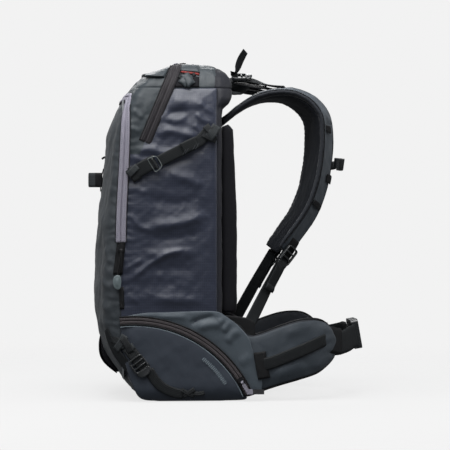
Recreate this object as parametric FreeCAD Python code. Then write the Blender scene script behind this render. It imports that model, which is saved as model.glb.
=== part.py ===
"""Ski backpack of about 33 litres, standing on its base.

Row frame, millimetres: the origin is the centre of the flat base on the floor, +Z is up,
-Y is the outer front of the pack, +Y is the wearer's side and +X is the wearer's right.
Each make_... function returns {node name: shape} for one group of sub-parts.
"""

import FreeCAD, Part

import math
import os

V = FreeCAD.Vector

# ---------------------------------------------------------------- driving dimensions
FABRIC = 2.5            # one sewn wall: outer cloth, foam backer and lining
SIDE_X = 142.0          # half width of the pack over its flat sides
ZIP_RISE = 1.6          # zip tape and coil stand this far out of the cloth
WEB = 20.0              # common webbing width
WEB_T = 1.6             # webbing thickness
BELT_WEB = 38.0         # hip belt webbing width
WING_T = 14.0           # hip wing padding

# height, front Y, back Y, half width, front corner radius, back corner radius
BODY_SECTIONS = [
    (0, -66, 66, 131, 24, 12),
    (12, -88, 60, 140, 30, 14),
    (44, -112, 58, SIDE_X, 34, 14),
    (85, -136, 58, SIDE_X, 38, 14),
    (168, -149, 58, SIDE_X, 42, 14),
    (252, -147, 58, SIDE_X, 42, 14),
    (311, -141, 58, SIDE_X, 40, 14),
    (399, -132, 58, 140, 38, 14),
    (440, -126, 58, 138, 36, 14),
    (476, -114, 58, 133, 34, 16),
    (486, -108, 72, 131, 32, 22),
    (500, -100, 77, 127, 30, 26),
    (512, -92, 78, 123, 28, 28),
    (532, -70, 72, 110, 26, 28),
    (545, -42, 57, 92, 20, 24),
    (551.5, -14, 40, 70, 12, 16),
]

# front pocket seam, side view (Y, Z), from the bottom up
FRONT_SEAM = [(-84, 12), (-100, 30), (-106.5, 60), (-106.5, 130), (-106.5, 258), (-100.5, 398), (-97, 470)]
FRONT_SEAM_TOP = 497.0
LID_SEAM = 510.0
BOTTOM_SEAM = 12.0
BACK_SEAM_Y = 50.0

# side stash zip: a circular arc in side view, (Y, Z) of its centre
STASH_C = (-87.0, -74.0)
STASH_R = 205.5
STASH_FROM = 96.0       # degrees, front end of the arc
STASH_TO = 26.0         # degrees, rear end, above the floor
STASH_WIDTH = 12.0
STASH_REST = 31.5       # where the closed slider stands

TOP_ZIP = ((-66.0, 422.0), (-12.0, 552.5))
TOP_ZIP_WIDTH = 20.0
FRONT_ZIP_WIDTH = 16.0
FRONT_ZIP_LOW = 258.0

# shoulder strap centre line: X, Y, Z, width, thickness, outward turn in degrees
STRAP = [
    (58, 63, 458, 54, 10, 0),
    (59, 77, 469, 56, 12, 0),
    (60, 97, 485, 60, 13, 0),
    (63, 123, 500, 64, 13, 2),
    (68, 155, 508, 66, 13, 5),
    (73, 186, 506, 68, 13, 9),
    (79, 214, 491, 68, 13, 14),
    (85, 231, 466, 68, 13, 18),
    (89, 234.5, 430, 66, 13, 21),
    (92, 231.5, 392, 64, 13, 22),
    (95, 223.5, 350, 62, 13, 23),
    (98, 207, 308, 58, 13, 25),
    (101, 181, 270, 52, 12, 28),
    (103, 161, 244, 42, 10, 32),
]
STERNUM_Z = 389.0
STERNUM_Y = 269.0
STERNUM_DIR = V(0, 0.14, 0.99)

# hip wing plan curve and its bottom and top edge: X, Y, Z low, Z high
WING = [
    (134, 60.8, 14, 137),
    (134.5, 84, 8, 123),
    (134.5, 101, 8, 109),
    (134.5, 121, 15, 111),
    (139, 150, 25, 121),
    (137, 182, 33, 131),
    (125, 213, 42, 132),
    (112, 232, 54, 122),
    (103, 243, 66, 106),
    (98, 248.5, 78, 92),
]
LIFTER = V(60, 78.5, 529.8)     # pivot of the right load lifter's lock
BELT_TILT = 10.0        # degrees the belt's top edge leans to the pack
BUCKLE = V(0, 292, 102)

NODES = {}


# ---------------------------------------------------------------- helpers
def box(x0, x1, y0, y1, z0, z1):
    return Part.makeBox(x1 - x0, y1 - y0, z1 - z0, V(x0, y0, z0))


def mirrored(shape):
    """The same piece on the wearer's left."""
    return shape.mirror(V(0, 0, 0), V(1, 0, 0))


def loft(wires, ruled=True):
    return Part.makeLoft(wires, True, ruled)


def side_prism(points, x0=-200.0, x1=200.0):
    """A closed outline in side view, (Y, Z) points, extruded along X."""
    wire = Part.makePolygon([V(x0, y, z) for y, z in points + points[:1]])
    return Part.Face(wire).extrude(V(x1 - x0, 0, 0))


def placed(shape, origin, along, outward):
    """Moves a piece from its own frame, x along and z outward, to where it lies."""
    ex = V(along).normalize()
    ez = V(outward)
    ez = (ez - ex * ez.dot(ex)).normalize()
    ey = ez.cross(ex)
    m = FreeCAD.Matrix(
        ex.x, ey.x, ez.x, origin.x,
        ex.y, ey.y, ez.y, origin.y,
        ex.z, ey.z, ez.z, origin.z,
        0, 0, 0, 1,
    )
    return shape.transformed(m)


def band(points, width_dirs, width, thickness, outward_dirs):
    """Flat webbing along points: each has a direction across and one out of its face."""
    wires = []
    for p, w, n in zip(points, width_dirs, outward_dirs):
        w = V(w).normalize() * (width / 2)
        n = V(n).normalize() * (thickness / 2)
        corners = [p + w + n, p - w + n, p - w - n, p + w - n]
        wires.append(Part.makePolygon(corners + corners[:1]))
    return loft(wires)


# ---------------------------------------------------------------- bag
def section_wire(section, inset):
    """The pack's level outline at one height; the front corners are rounder than the back."""
    z, front, back, half, r_front, r_back = section
    x, y0, y1 = half - inset, front + inset, back - inset
    rf, rb = max(r_front - inset, 4.0), max(r_back - inset, 4.0)
    c = math.sqrt(0.5)
    spots = [
        (V(x - rf, y0, z), V(x - rf + rf * c, y0 + rf - rf * c, z), V(x, y0 + rf, z)),
        (V(x, y1 - rb, z), V(x - rb + rb * c, y1 - rb + rb * c, z), V(x - rb, y1, z)),
        (V(rb - x, y1, z), V(rb - x - rb * c, y1 - rb + rb * c, z), V(-x, y1 - rb, z)),
        (V(-x, y0 + rf, z), V(rf - x - rf * c, y0 + rf - rf * c, z), V(rf - x, y0, z)),
    ]
    edges = []
    for i, (first, mid, last) in enumerate(spots):
        edges.append(Part.Arc(first, mid, last).toShape())
        edges.append(Part.LineSegment(last, spots[(i + 1) % 4][0]).toShape())
    return Part.Wire(edges)


def body_solid(inset):
    """The whole pack as one closed solid, pulled in by inset on every side."""
    sections = [list(s) for s in BODY_SECTIONS]
    sections[0][0] += inset
    sections[-1][0] -= inset
    return loft([section_wire(s, inset) for s in sections])


def front_region(shift=0.0):
    """Side-view region ahead of the front pocket seam, moved back by shift."""
    seam = [(y + shift, z) for y, z in FRONT_SEAM]
    seam += [(-95.5 + shift, FRONT_SEAM_TOP - 14 + shift), (-90 + shift, FRONT_SEAM_TOP + shift)]
    return [(-220, FRONT_SEAM[0][1])] + seam + [(-220, FRONT_SEAM_TOP + shift)]


def make_bag(outer, inner):
    shell = outer.cut(inner)
    front = side_prism(front_region())
    lid_edge = [(-220, FRONT_SEAM_TOP), (-90, FRONT_SEAM_TOP), (-80, LID_SEAM), (200, LID_SEAM)]
    top = side_prism(lid_edge + [(200, 600), (-220, 600)])
    bottom = box(-200, 200, -220, 200, -10, BOTTOM_SEAM)
    back = box(-200, 200, BACK_SEAM_Y, 200, BOTTOM_SEAM, LID_SEAM)
    sides = shell.cut(front).cut(top).cut(bottom).cut(back)
    right = box(0, 200, -220, 200, -10, 600)
    side_right = sides.common(right)
    return {
        "front_pocket_shell": shell.common(front),
        "top_lid_panel": shell.common(top).cut(front),
        "base_panel": shell.common(bottom),
        "back_wall_and_yoke": shell.common(back),
        "side_panel_right": side_right,
        "side_panel_left": mirrored(side_right),
    }


def make_inside(inner):
    """What the pack holds inside: tool pocket wall, frame sheet, stays and sleeve."""
    divider = inner.common(box(-200, 200, -104, -101.5, 18, 496))
    sheet = box(-108, 108, 52.5, 54.2, 20, 455)
    stays = Part.makeCompound(
        [box(s * 62 - 6, s * 62 + 6, 49.2, 52.2, 24, 450) for s in (-1, 1)]
    )
    sleeve = box(-100, 100, 45.5, 47.5, 60, 440)
    return {
        "tool_pocket_divider": divider,
        "frame_sheet": sheet,
        "frame_stays": stays,
        "hydration_sleeve": sleeve,
    }


def stash_point(degrees, radius=STASH_R):
    a = math.radians(degrees)
    return STASH_C[0] + radius * math.cos(a), STASH_C[1] + radius * math.sin(a)


def arc_edge(x, radius, start, end):
    """An arc about the stash zip's centre, in side view."""
    p = [V(x, *stash_point(a, radius)) for a in (start, (start + end) / 2, end)]
    return Part.Arc(*p).toShape(), p[0], p[2]


def side_plate(x0, x1, outline, radius, start, end):
    """A flat side piece: an arc of the zip, closed by the outline's points."""
    arc, first, last = arc_edge(x0, radius, start, end)
    points = [last] + [V(x0, y, z) for y, z in outline] + [first]
    lines = [Part.LineSegment(a, b).toShape() for a, b in zip(points, points[1:])]
    return Part.Face(Part.Wire([arc] + lines)).extrude(V(x1 - x0, 0, 0))


def make_stash():
    """The zipped side pocket, the gusset that ties it to the hip wing, and the zip."""
    x0, x1 = SIDE_X + 0.1, SIDE_X + 0.1 + FABRIC
    below = [(96, 4), (-60, 4), (-70, 12), (-92, 45), (-104, 90)]
    above = [(112, 10), (121, 16), (123, 37), (100.5, 101), (62, 138), (49, 145), (21, 146)]
    above += [(-35, 144), (-70, 143), (-107, 136)]
    half = STASH_WIDTH / 2 - 2
    stash = side_plate(x0, x1, below, STASH_R - half, STASH_FROM, STASH_TO)
    gusset = side_plate(x0, x1, above, STASH_R + half, STASH_FROM, STASH_TO)
    outer, a0, a1 = arc_edge(x1, STASH_R + STASH_WIDTH / 2, STASH_FROM, STASH_TO)
    inner, b0, b1 = arc_edge(x1, STASH_R - STASH_WIDTH / 2, STASH_FROM, STASH_TO)
    wire = Part.Wire([outer, Part.makeLine(a1, b1), inner, Part.makeLine(b0, a0)])
    tape = Part.Face(wire).extrude(V(ZIP_RISE, 0, 0))
    made = {"side_stash": stash, "hip_gusset": gusset, "side_zip": tape}
    out = {}
    for name, shape in made.items():
        out[name + "_right"] = shape
        out[name + "_left"] = mirrored(shape)
    return out


def strip(points, width):
    """A side-view strip of that width along points."""
    half = width / 2
    left, right = [], []
    for i, (y, z) in enumerate(points):
        a = points[max(i - 1, 0)]
        b = points[min(i + 1, len(points) - 1)]
        dy, dz = b[0] - a[0], b[1] - a[1]
        n = math.hypot(dy, dz)
        left.append((y - dz / n * half, z + dy / n * half))
        right.append((y + dz / n * half, z - dy / n * half))
    return left + right[::-1]


def make_zip_tapes(outer, raised):
    """Top zip over the crown and front zip round the tool pocket."""
    skin = raised.cut(outer)
    (y0, z0), (y1, z1) = TOP_ZIP
    over = (y1 + (y1 - y0) * 0.2, z1 + (z1 - z0) * 0.2)
    top = skin.common(side_prism(strip([(y0, z0), (y1, z1), over], TOP_ZIP_WIDTH)))
    ahead = side_prism(front_region(FRONT_ZIP_WIDTH / 2))
    behind = side_prism(front_region(-FRONT_ZIP_WIDTH / 2))
    above = box(-200, 200, -220, 200, FRONT_ZIP_LOW, 600)
    front = skin.common(ahead).cut(behind).common(above)
    return {"top_zip": top, "front_zip": front}


# ---------------------------------------------------------------- zip sliders
BAIL_R = 0.7
EYE_HOLE = 1.1
EYE_R = 2.3
BAIL_X, BAIL_Z = 2.5, 5.6


def zip_slider():
    """Own frame: x points the way the puller lies, z out of the cloth."""
    body = box(-6, 6, -4.5, 4.5, 0.2, 3.2)
    body = body.makeFillet(1.2, [e for e in body.Edges if abs(e.tangentAt(0).z) > 0.9])
    posts = [box(0.9, 4.1, y0, y0 + 1.0, 3.2, 7.0) for y0 in (-3.7, 2.7)]
    bail = Part.makeCylinder(BAIL_R, 7.0, V(BAIL_X, -3.5, BAIL_Z), V(0, 1, 0))
    return body.fuse(posts + [bail]).removeSplitter()


def zip_puller(length, width, tag):
    """A pull: an eye round the slider's bail, a cord and a flat tag of length tag at its end."""
    eye = Part.makeCylinder(EYE_R, 4.0, V(BAIL_X, -2, BAIL_Z), V(0, 1, 0))
    start = BAIL_X + length - tag
    neck = box(BAIL_X, start + 1, -1.5, 1.5, BAIL_Z - 0.8, BAIL_Z + 0.8)
    tab = box(start, BAIL_X + length, -width / 2, width / 2, BAIL_Z - 1.0, BAIL_Z + 1.0)
    tab = tab.makeFillet(2.0, [e for e in tab.Edges if abs(e.tangentAt(0).z) > 0.9])
    hole = Part.makeCylinder(EYE_HOLE, 5.0, V(BAIL_X, -2.5, BAIL_Z), V(0, 1, 0))
    return eye.fuse([neck, tab]).cut(hole).removeSplitter()


def bent_puller(length, width, tip, tip_width, bend):
    """A pull whose woven tip turns off its cord by bend degrees."""
    straight = zip_puller(length, width, length - 3)
    end = box(-2, tip, -tip_width / 2, tip_width / 2, BAIL_Z - 1.2, BAIL_Z + 1.2)
    end.rotate(V(0, 0, 0), V(0, 0, 1), bend)
    end.translate(V(BAIL_X + length - 4, 0, 0))
    return straight.fuse(end).removeSplitter()


def make_sliders():
    """Sliders and pullers."""
    out = {}
    surface = SIDE_X + 0.1 + FABRIC + ZIP_RISE
    a = math.radians(STASH_REST)
    y, z = stash_point(STASH_REST)
    down = V(0, math.sin(a), -math.cos(a))
    spots = {
        "side_zip": (V(surface, y, z), down, V(1, 0, 0), 22, 6, 26),
        "front_zip": (V(SIDE_X + 1.6, -106.7, 249), V(0.018, -0.043, -1), V(1, 0, 0.018), 62, 15, 19),
        "top_zip": (V(10, -13.2, 553.9), V(1, 0, 0), V(0, -0.22, 0.975), 34, 9, 24),
    }
    for name, (origin, along, outward, length, width, tag) in spots.items():
        slider = placed(zip_slider(), origin, along, outward)
        if name == "side_zip":
            bent = bent_puller(length, width, tag, 8, 90 - STASH_REST)
            puller = placed(bent, origin, along, outward)
            out["side_zip_slider_right"] = slider
            out["side_zip_puller_right"] = puller
            out["side_zip_slider_left"] = mirrored(slider)
            out["side_zip_puller_left"] = mirrored(puller)
        else:
            puller = placed(zip_puller(length, width, tag), origin, along, outward)
            out[name + "_slider"] = slider
            out[name + "_puller"] = puller
    return out


# ---------------------------------------------------------------- back and harness
def make_back_pads():
    """Moulded foam columns with an air channel between them, and the lumbar pad."""
    profile = [(58.3, 142), (84, 142), (84, 305), (77.5, 440), (68, 447), (58.3, 447)]
    column = side_prism(profile, 16, 118)
    upright = [e for e in column.Edges if abs(e.tangentAt(0).z) > 0.9 and e.CenterOfMass.y > 70]
    column = column.makeFillet(9, upright)
    groove = box(62, 70, 74, 90, 150, 440)
    column = column.cut(groove)
    bridge = box(-16, 16, 58.3, 66, 142, 447)
    pads = column.fuse([mirrored(column), bridge]).removeSplitter()
    lumbar = box(-112, 112, 62, 92, 18, 138)
    edges = [e for e in lumbar.Edges if e.CenterOfMass.y > 85]
    lumbar = lumbar.makeFillet(9, edges)
    return {"back_foam_pad": pads, "lumbar_pad": lumbar}


def strap_frames():
    """Centre, direction, across and outward directions along the right shoulder strap."""
    points = [V(*row[:3]) for row in STRAP]
    frames = []
    for i, row in enumerate(STRAP):
        a, b = points[max(i - 1, 0)], points[min(i + 1, len(points) - 1)]
        t = (b - a).normalize()
        w = V(1, 0, 0)
        w = (w - t * w.dot(t)).normalize()
        n = w.cross(t)
        turn = math.radians(row[5])
        across = w * math.cos(turn) - n * math.sin(turn)
        outward = n * math.cos(turn) + w * math.sin(turn)
        frames.append((points[i], t, across, outward))
    return frames


def make_shoulder_straps():
    wires = []
    for (p, _, across, outward), row in zip(strap_frames(), STRAP):
        w, n = across * (row[3] / 2), outward * (row[4] / 2)
        c = [p + w + n, p - w + n, p - w - n, p + w - n]
        wires.append(Part.makePolygon(c + c[:1]))
    strap = loft(wires)
    return {"shoulder_strap_right": strap, "shoulder_strap_left": mirrored(strap)}


def ladder_lock(width, length, thickness, tab):
    """A webbing adjuster: x runs from its fixed bar to the thumb tab, z out of its face."""
    half = width / 2
    flat = length - tab
    outline = [V(0, -half, 0), V(flat, -half, 0)]
    tip = [V(flat, -half, 0), V(length, 0, 0), V(flat, half, 0)]
    edges = [
        Part.makeLine(*outline),
        Part.Arc(*tip).toShape(),
        Part.makeLine(tip[2], V(0, half, 0)),
        Part.makeLine(V(0, half, 0), outline[0]),
    ]
    plate = Part.Face(Part.Wire(edges)).extrude(V(0, 0, thickness))
    corners = [e for e in plate.Edges if abs(e.tangentAt(0).z) > 0.9 and e.CenterOfMass.x < 1]
    plate = plate.makeFillet(2.5, corners)
    pitch = (flat - 3.0) / 3
    for i in range(3):
        x = 3.0 + i * pitch
        plate = plate.cut(box(x, x + pitch - 2.6, 3.2 - half, half - 3.2, -1, thickness + 1))
    return plate


def end_frame():
    """Where the strap padding ends: centre, direction, across and outward."""
    return strap_frames()[-1]


def make_adjusters():
    """Ladder locks at the strap ends and the webbing down to the hip wings."""
    p, t, across, outward = end_frame()
    turn = math.radians(14)
    out2 = outward * math.cos(turn) + across * math.sin(turn)
    origin = p + outward * (STRAP[-1][4] / 2 + 5.6) - t * 14
    lock = placed(ladder_lock(28, 44, 3.6, 12), origin, t, out2)
    start = p + t * 6 + outward * 0.5
    stop = V(134, 101, 122)
    mids = [start + (stop - start) * k for k in (0.0, 0.3, 0.65, 1.0)]
    along = (stop - start).normalize()
    turns = (38, 60, 78, 84)
    dirs, outs = [], []
    base = V(1, 0, 0)
    base = (base - along * base.dot(along)).normalize()
    normal = base.cross(along)
    for degrees in turns:
        a = math.radians(degrees)
        dirs.append(base * math.cos(a) - normal * math.sin(a))
        outs.append(normal * math.cos(a) + base * math.sin(a))
    web = band(mids, dirs, WEB, WEB_T, outs)
    anchor = side_prism([(62, 139), (100, 134), (109, 125), (101, 112), (84, 126)], 131, 132.8)
    web = web.fuse(anchor).removeSplitter()
    return {
        "strap_adjuster_right": lock,
        "strap_adjuster_left": mirrored(lock),
        "lower_webbing_right": web,
        "lower_webbing_left": mirrored(web),
    }


def make_load_lifters():
    """Straps from the yoke to the top of the shoulder straps, with locks and free tails.

    The right tail stands up and the left one lies forward over its strap.
    """
    roll = V(0.92, 0, -0.38)
    face = V(0.38, 0, 0.92)
    across = [roll, roll, V(0.98, 0, -0.16), V(1, 0, 0)]
    up = [face, face, V(0.16, 0.25, 1), V(0, 0.06, 1)]
    low = [V(60, 76.5, 528.2), V(60.5, 112, 527.2), V(65, 134, 520), V(68, 155, 516.4)]
    web = band(low, across, WEB, WEB_T, up)
    lock = placed(ladder_lock(26, 35, 3.4, 9), LIFTER, V(0, 1, 0), face)
    standing = [V(62.8, 87, 537), V(61.8, 90, 548), V(61, 93, 561), V(60, 99, 575.5)]
    normals = [V(0.05, 1, -0.1), V(0.3, 1, -0.15), V(0.5, 1, -0.3), V(0.55, 1, -0.35)]
    widths = [V(1, -0.05, 0), V(1, -0.3, 0), V(1, -0.5, 0), V(1, -0.55, 0)]
    tail_right = band(standing, widths, WEB, WEB_T, normals)
    lying = [V(62.4, 92, 535.9), V(62.5, 113, 534.4), V(65, 136, 526.5)]
    lying += [V(69, 160, 521.8), V(74, 188, 517.6)]
    ups = [face, face, V(0.2, 0.25, 1), V(0.1, 0.12, 1), V(0.12, 0.2, 1)]
    sides = [roll, roll, V(1, 0, -0.2), V(1, 0, -0.1), V(1, 0, -0.12)]
    tail_left = mirrored(band(lying, sides, WEB, WEB_T, ups))
    return {
        "load_lifter_webbing_right": web,
        "load_lifter_webbing_left": mirrored(web),
        "load_lifter_buckle_right": lock,
        "load_lifter_buckle_left": mirrored(lock),
        "load_lifter_tail_right": tail_right,
        "load_lifter_tail_left": tail_left,
    }


def make_haul_loop():
    """Carry loop at the top of the back, between the load lifters."""
    half = [(40, 87, 520), (37, 97, 518), (27, 104, 516), (0, 107.5, 514.5)]
    points = [V(*p) for p in half] + [V(-x, y, z) for x, y, z in half[-2::-1]]
    down = V(0, 0.78, 0.62)
    outs, ups = [], []
    for i, p in enumerate(points):
        a, b = points[max(i - 1, 0)], points[min(i + 1, len(points) - 1)]
        t = (b - a).normalize()
        outs.append(t.cross(down))
        ups.append(down)
    return {"haul_loop": band(points, ups, WEB, 2.2, outs)}


# ---------------------------------------------------------------- side-release buckles
def buckle_parts(width, height, thickness, length):
    """Socket and plug. x runs across the wearer, y out of the face, z up the buckle.

    The socket fills x > 0 and the plug x < 0; the plug's arms reach into the socket.
    """
    wall = max(1.6, thickness * 0.16)
    arm = length * 0.52
    cavity_z = height / 2 - 3.2
    cavity_y = thickness / 2 - wall
    socket = box(0, length, -thickness / 2, thickness / 2, -height / 2, height / 2)
    rim = [e for e in socket.Edges if abs(e.tangentAt(0).y) > 0.9 and e.CenterOfMass.x > 1]
    socket = socket.makeFillet(height * 0.12, rim)
    socket = socket.cut(box(-1, arm + 3, -cavity_y, cavity_y, -cavity_z, cavity_z))
    for s in (-1, 1):
        window = box(arm - 9, arm - 1, -cavity_y, cavity_y, min(s * 1, s * 99), max(s * 1, s * 99))
        socket = socket.cut(window.common(box(-1, length, -cavity_y, cavity_y, -99, 99)))
    slot = length * 0.105
    x = length * 0.8
    socket = socket.cut(box(x, x + slot, -99, 99, -width / 2 - 0.5, width / 2 + 0.5))
    plug = box(-length * 0.62, -0.3, -thickness / 2, thickness / 2, -height / 2, height / 2)
    rim = [e for e in plug.Edges if abs(e.tangentAt(0).y) > 0.9 and e.CenterOfMass.x < -1]
    plug = plug.makeFillet(height * 0.12, rim)
    for x in (-length * 0.53, -length * 0.34):
        plug = plug.cut(box(x, x + slot, -99, 99, -width / 2 - 0.5, width / 2 + 0.5))
    depth = cavity_y - 0.4
    arms = []
    for s in (-1, 1):
        z0, z1 = s * (cavity_z - 0.5), s * (cavity_z - 4.2)
        arms.append(box(-0.4, arm, -depth, depth, min(z0, z1), max(z0, z1)))
    guide = box(-0.4, arm * 0.8, -depth * 0.6, depth * 0.6, -1.6, 1.6)
    plug = plug.fuse(arms + [guide]).removeSplitter()
    return socket, plug


def belt_frame(shape, centre, tilt):
    """Stands a buckle at its place, its top leaning to the pack."""
    a = math.radians(tilt)
    out = V(0, math.cos(a), math.sin(a))
    up = V(0, -math.sin(a), math.cos(a))
    m = FreeCAD.Matrix(
        1, 0, 0, centre.x,
        0, out.y, up.y, centre.y,
        0, out.z, up.z, centre.z,
        0, 0, 0, 1,
    )
    return shape.transformed(m)


def wing_frames(offset=0.0):
    """Points and directions along the right hip wing's plan curve."""
    frames = []
    for i, (x, y, _, _) in enumerate(WING):
        a, b = WING[max(i - 1, 0)], WING[min(i + 1, len(WING) - 1)]
        t = V(b[0] - a[0], b[1] - a[1], 0).normalize()
        n = V(t.y, -t.x, 0)
        frames.append((V(x, y, 0) + n * offset, t, n))
    return frames


def make_hip_belt():
    wires = []
    last = len(WING) - 1
    for i, ((p, _, n), (_, _, z0, z1)) in enumerate(zip(wing_frames(), WING)):
        half = WING_T / 2 if i < last else WING_T * 0.3
        c = [p + n * half, p - n * half]
        corners = [c[0] + V(0, 0, z0), c[1] + V(0, 0, z0), c[1] + V(0, 0, z1), c[0] + V(0, 0, z1)]
        wires.append(Part.makePolygon(corners + corners[:1]))
    wing = loft(wires)
    socket, plug = buckle_parts(BELT_WEB, 50, 12, 38)
    a = math.radians(BELT_TILT)
    up = V(0, -math.sin(a), math.cos(a))
    # right webbing ends at the socket's bar; the left one runs behind the plug, which slides on it
    tip = V(94.5, 253.5, 88)
    right = [tip, V(80, 270, 93), V(62, 282.5, 97.5), V(41, BUCKLE.y - 1, 101.5)]
    left = [tip, V(80, 268, 93), V(64, 277, 97), V(44, BUCKLE.y - 8.6, 100.4), V(14, BUCKLE.y - 8.6, 100.4)]
    webs = []
    for path, side in ((right, 1), (left, -1)):
        points = [V(side * p.x, p.y, p.z) for p in path]
        ups, outs = [], []
        for i, p in enumerate(points):
            p0, p1 = points[max(i - 1, 0)], points[min(i + 1, len(points) - 1)]
            t = (p1 - p0).normalize()
            flat_up = (up - t * up.dot(t)).normalize()
            ups.append(flat_up)
            outs.append(t.cross(flat_up))
        webs.append(band(points, ups, BELT_WEB, WEB_T, outs))
    return {
        "hip_wing_right": wing,
        "hip_wing_left": mirrored(wing),
        "hip_buckle_socket": belt_frame(socket, BUCKLE, BELT_TILT),
        "hip_buckle_plug": belt_frame(plug, BUCKLE, BELT_TILT),
        "hip_webbing_right": webs[0],
        "hip_webbing_left": webs[1],
    }


def make_sternum_strap():
    """Two clips on the shoulder straps' inner edges, webbing and a small buckle."""
    tilt = -math.degrees(math.asin(STERNUM_DIR.y))
    socket, plug = buckle_parts(15, 20, 8, 20)
    centre = V(0, STERNUM_Y, STERNUM_Z)
    up = STERNUM_DIR
    clip_at = V(66, 254.0, STERNUM_Z)
    plan_right = [(61, 258), (46, 264.5), (32, 267.6), (21, 268)]
    plan_left = [(61, 258), (46, 262.6), (32, 262.9), (20, 262.9), (5, 262.9)]
    path = [V(x, y, STERNUM_Z) for x, y in plan_right]
    left = [V(x, y, STERNUM_Z) for x, y in plan_left]
    webs = []
    for route, side in ((path, 1), (left, -1)):
        points = [V(side * p.x, p.y, p.z) for p in route]
        ups, outs = [], []
        for i in range(len(points)):
            p0, p1 = points[max(i - 1, 0)], points[min(i + 1, len(points) - 1)]
            t = (p1 - p0).normalize()
            flat_up = (up - t * up.dot(t)).normalize()
            ups.append(flat_up)
            outs.append(t.cross(flat_up))
        webs.append(band(points, ups, 15, 1.4, outs))
    clip = box(-4, 4, -3, 3, -9, 9)
    clip = clip.makeFillet(1.2, clip.Edges)
    clip = placed(clip, clip_at, V(-0.75, 0.66, 0), STERNUM_DIR)
    return {
        "sternum_webbing": Part.makeCompound(webs),
        "sternum_clip_right": clip,
        "sternum_clip_left": mirrored(clip),
        "sternum_socket": belt_frame(socket, centre, tilt),
        "sternum_plug": belt_frame(plug, centre, tilt),
    }


# ---------------------------------------------------------------- straps on the sides and front
def side_band(points, width, x0, thickness):
    """Webbing lying flat on the pack's side, along (Y, Z) points."""
    spots = [V(x0 + thickness / 2, y, z) for y, z in points]
    dirs = []
    for i in range(len(spots)):
        a, b = spots[max(i - 1, 0)], spots[min(i + 1, len(spots) - 1)]
        dirs.append((b - a).cross(V(1, 0, 0)))
    return band(spots, dirs, width, thickness, [V(1, 0, 0)] * len(spots))


def make_compression():
    """Upper and lower side straps with their adjusters, right then left."""
    x_up = SIDE_X + 0.3
    x_low = SIDE_X + 0.1 + FABRIC + 0.2
    upper = side_band([(31, 434), (-44, 389.5)], WEB, x_up, WEB_T)
    front_tab = side_band([(-58, 381), (-84, 366)], WEB - 2, x_up, WEB_T)
    upper_lock = placed(
        ladder_lock(26, 24, 3.2, 5), V(x_up + WEB_T + 0.4, -60, 380), V(0, 0.86, 0.51), V(1, 0, 0)
    )
    low_path = [(-93, 86), (-84, 70), (-62, 38), (-40, 22), (-17, 15), (9, 14)]
    lower = side_band(low_path, WEB - 2, x_low, WEB_T)
    lower_lock = placed(
        ladder_lock(27, 36, 3.4, 10), V(x_low + WEB_T + 0.4, -86, 72), V(0, 0.60, -0.80), V(1, 0, 0)
    )
    made = {
        "compression_webbing": Part.makeCompound([upper, front_tab, lower]),
        "upper_compression_buckle": upper_lock,
        "lower_compression_buckle": lower_lock,
    }
    out = {}
    for name, shape in made.items():
        out[name + "_right"] = shape
        out[name + "_left"] = mirrored(shape)
    return out


def make_front_straps():
    """Gear loop on the front pocket and the ski loop at its foot."""
    zc = 362
    half = [(11, -139.0), (11.5, -150), (8, -156.5), (0, -159)]
    pts = [V(x, y, zc) for x, y in half] + [V(-x, y, zc) for x, y in half[-2::-1]]
    outs = []
    for i in range(len(pts)):
        a, b = pts[max(i - 1, 0)], pts[min(i + 1, len(pts) - 1)]
        outs.append((b - a).normalize().cross(V(0, 0, 1)))
    gear = band(pts, [V(0, 0, 1)] * len(pts), 24, 2.0, outs)
    path = [(-139.5, 99), (-142.5, 84), (-140.5, 66), (-130, 50), (-114.8, 41.5)]
    ski = side_prism(strip(path, 2.2), -30, 30)
    return {"front_gear_loop": gear, "ski_loop": ski}


# ---------------------------------------------------------------- build and export
def build():
    outer = body_solid(0.0)
    inner = body_solid(FABRIC)
    raised = body_solid(-ZIP_RISE)
    NODES.update(make_bag(outer, inner))
    NODES.update(make_inside(inner))
    NODES.update(make_stash())
    NODES.update(make_zip_tapes(outer, raised))
    NODES.update(make_sliders())
    NODES.update(make_back_pads())
    NODES.update(make_shoulder_straps())
    NODES.update(make_adjusters())
    NODES.update(make_load_lifters())
    NODES.update(make_haul_loop())
    NODES.update(make_hip_belt())
    NODES.update(make_sternum_strap())
    NODES.update(make_compression())
    NODES.update(make_front_straps())


def main():
    build()
    os.makedirs("parts", exist_ok=True)
    for name, shape in sorted(NODES.items()):
        shape.exportStep("parts/" + name + ".step")
        print(name, len(shape.Solids), round(shape.Volume / 1000, 2), "cm3", shape.isValid())
    print(len(NODES), "nodes")


if __name__ == "__main__":
    main()
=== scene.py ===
"""The looks of the ski backpack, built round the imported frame. Metres in Blender; the
helpers take millimetres in the same frame: +X the wearer's right, -Y the pack's outer
front, +Y the wearer, +Z up."""

import math

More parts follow.
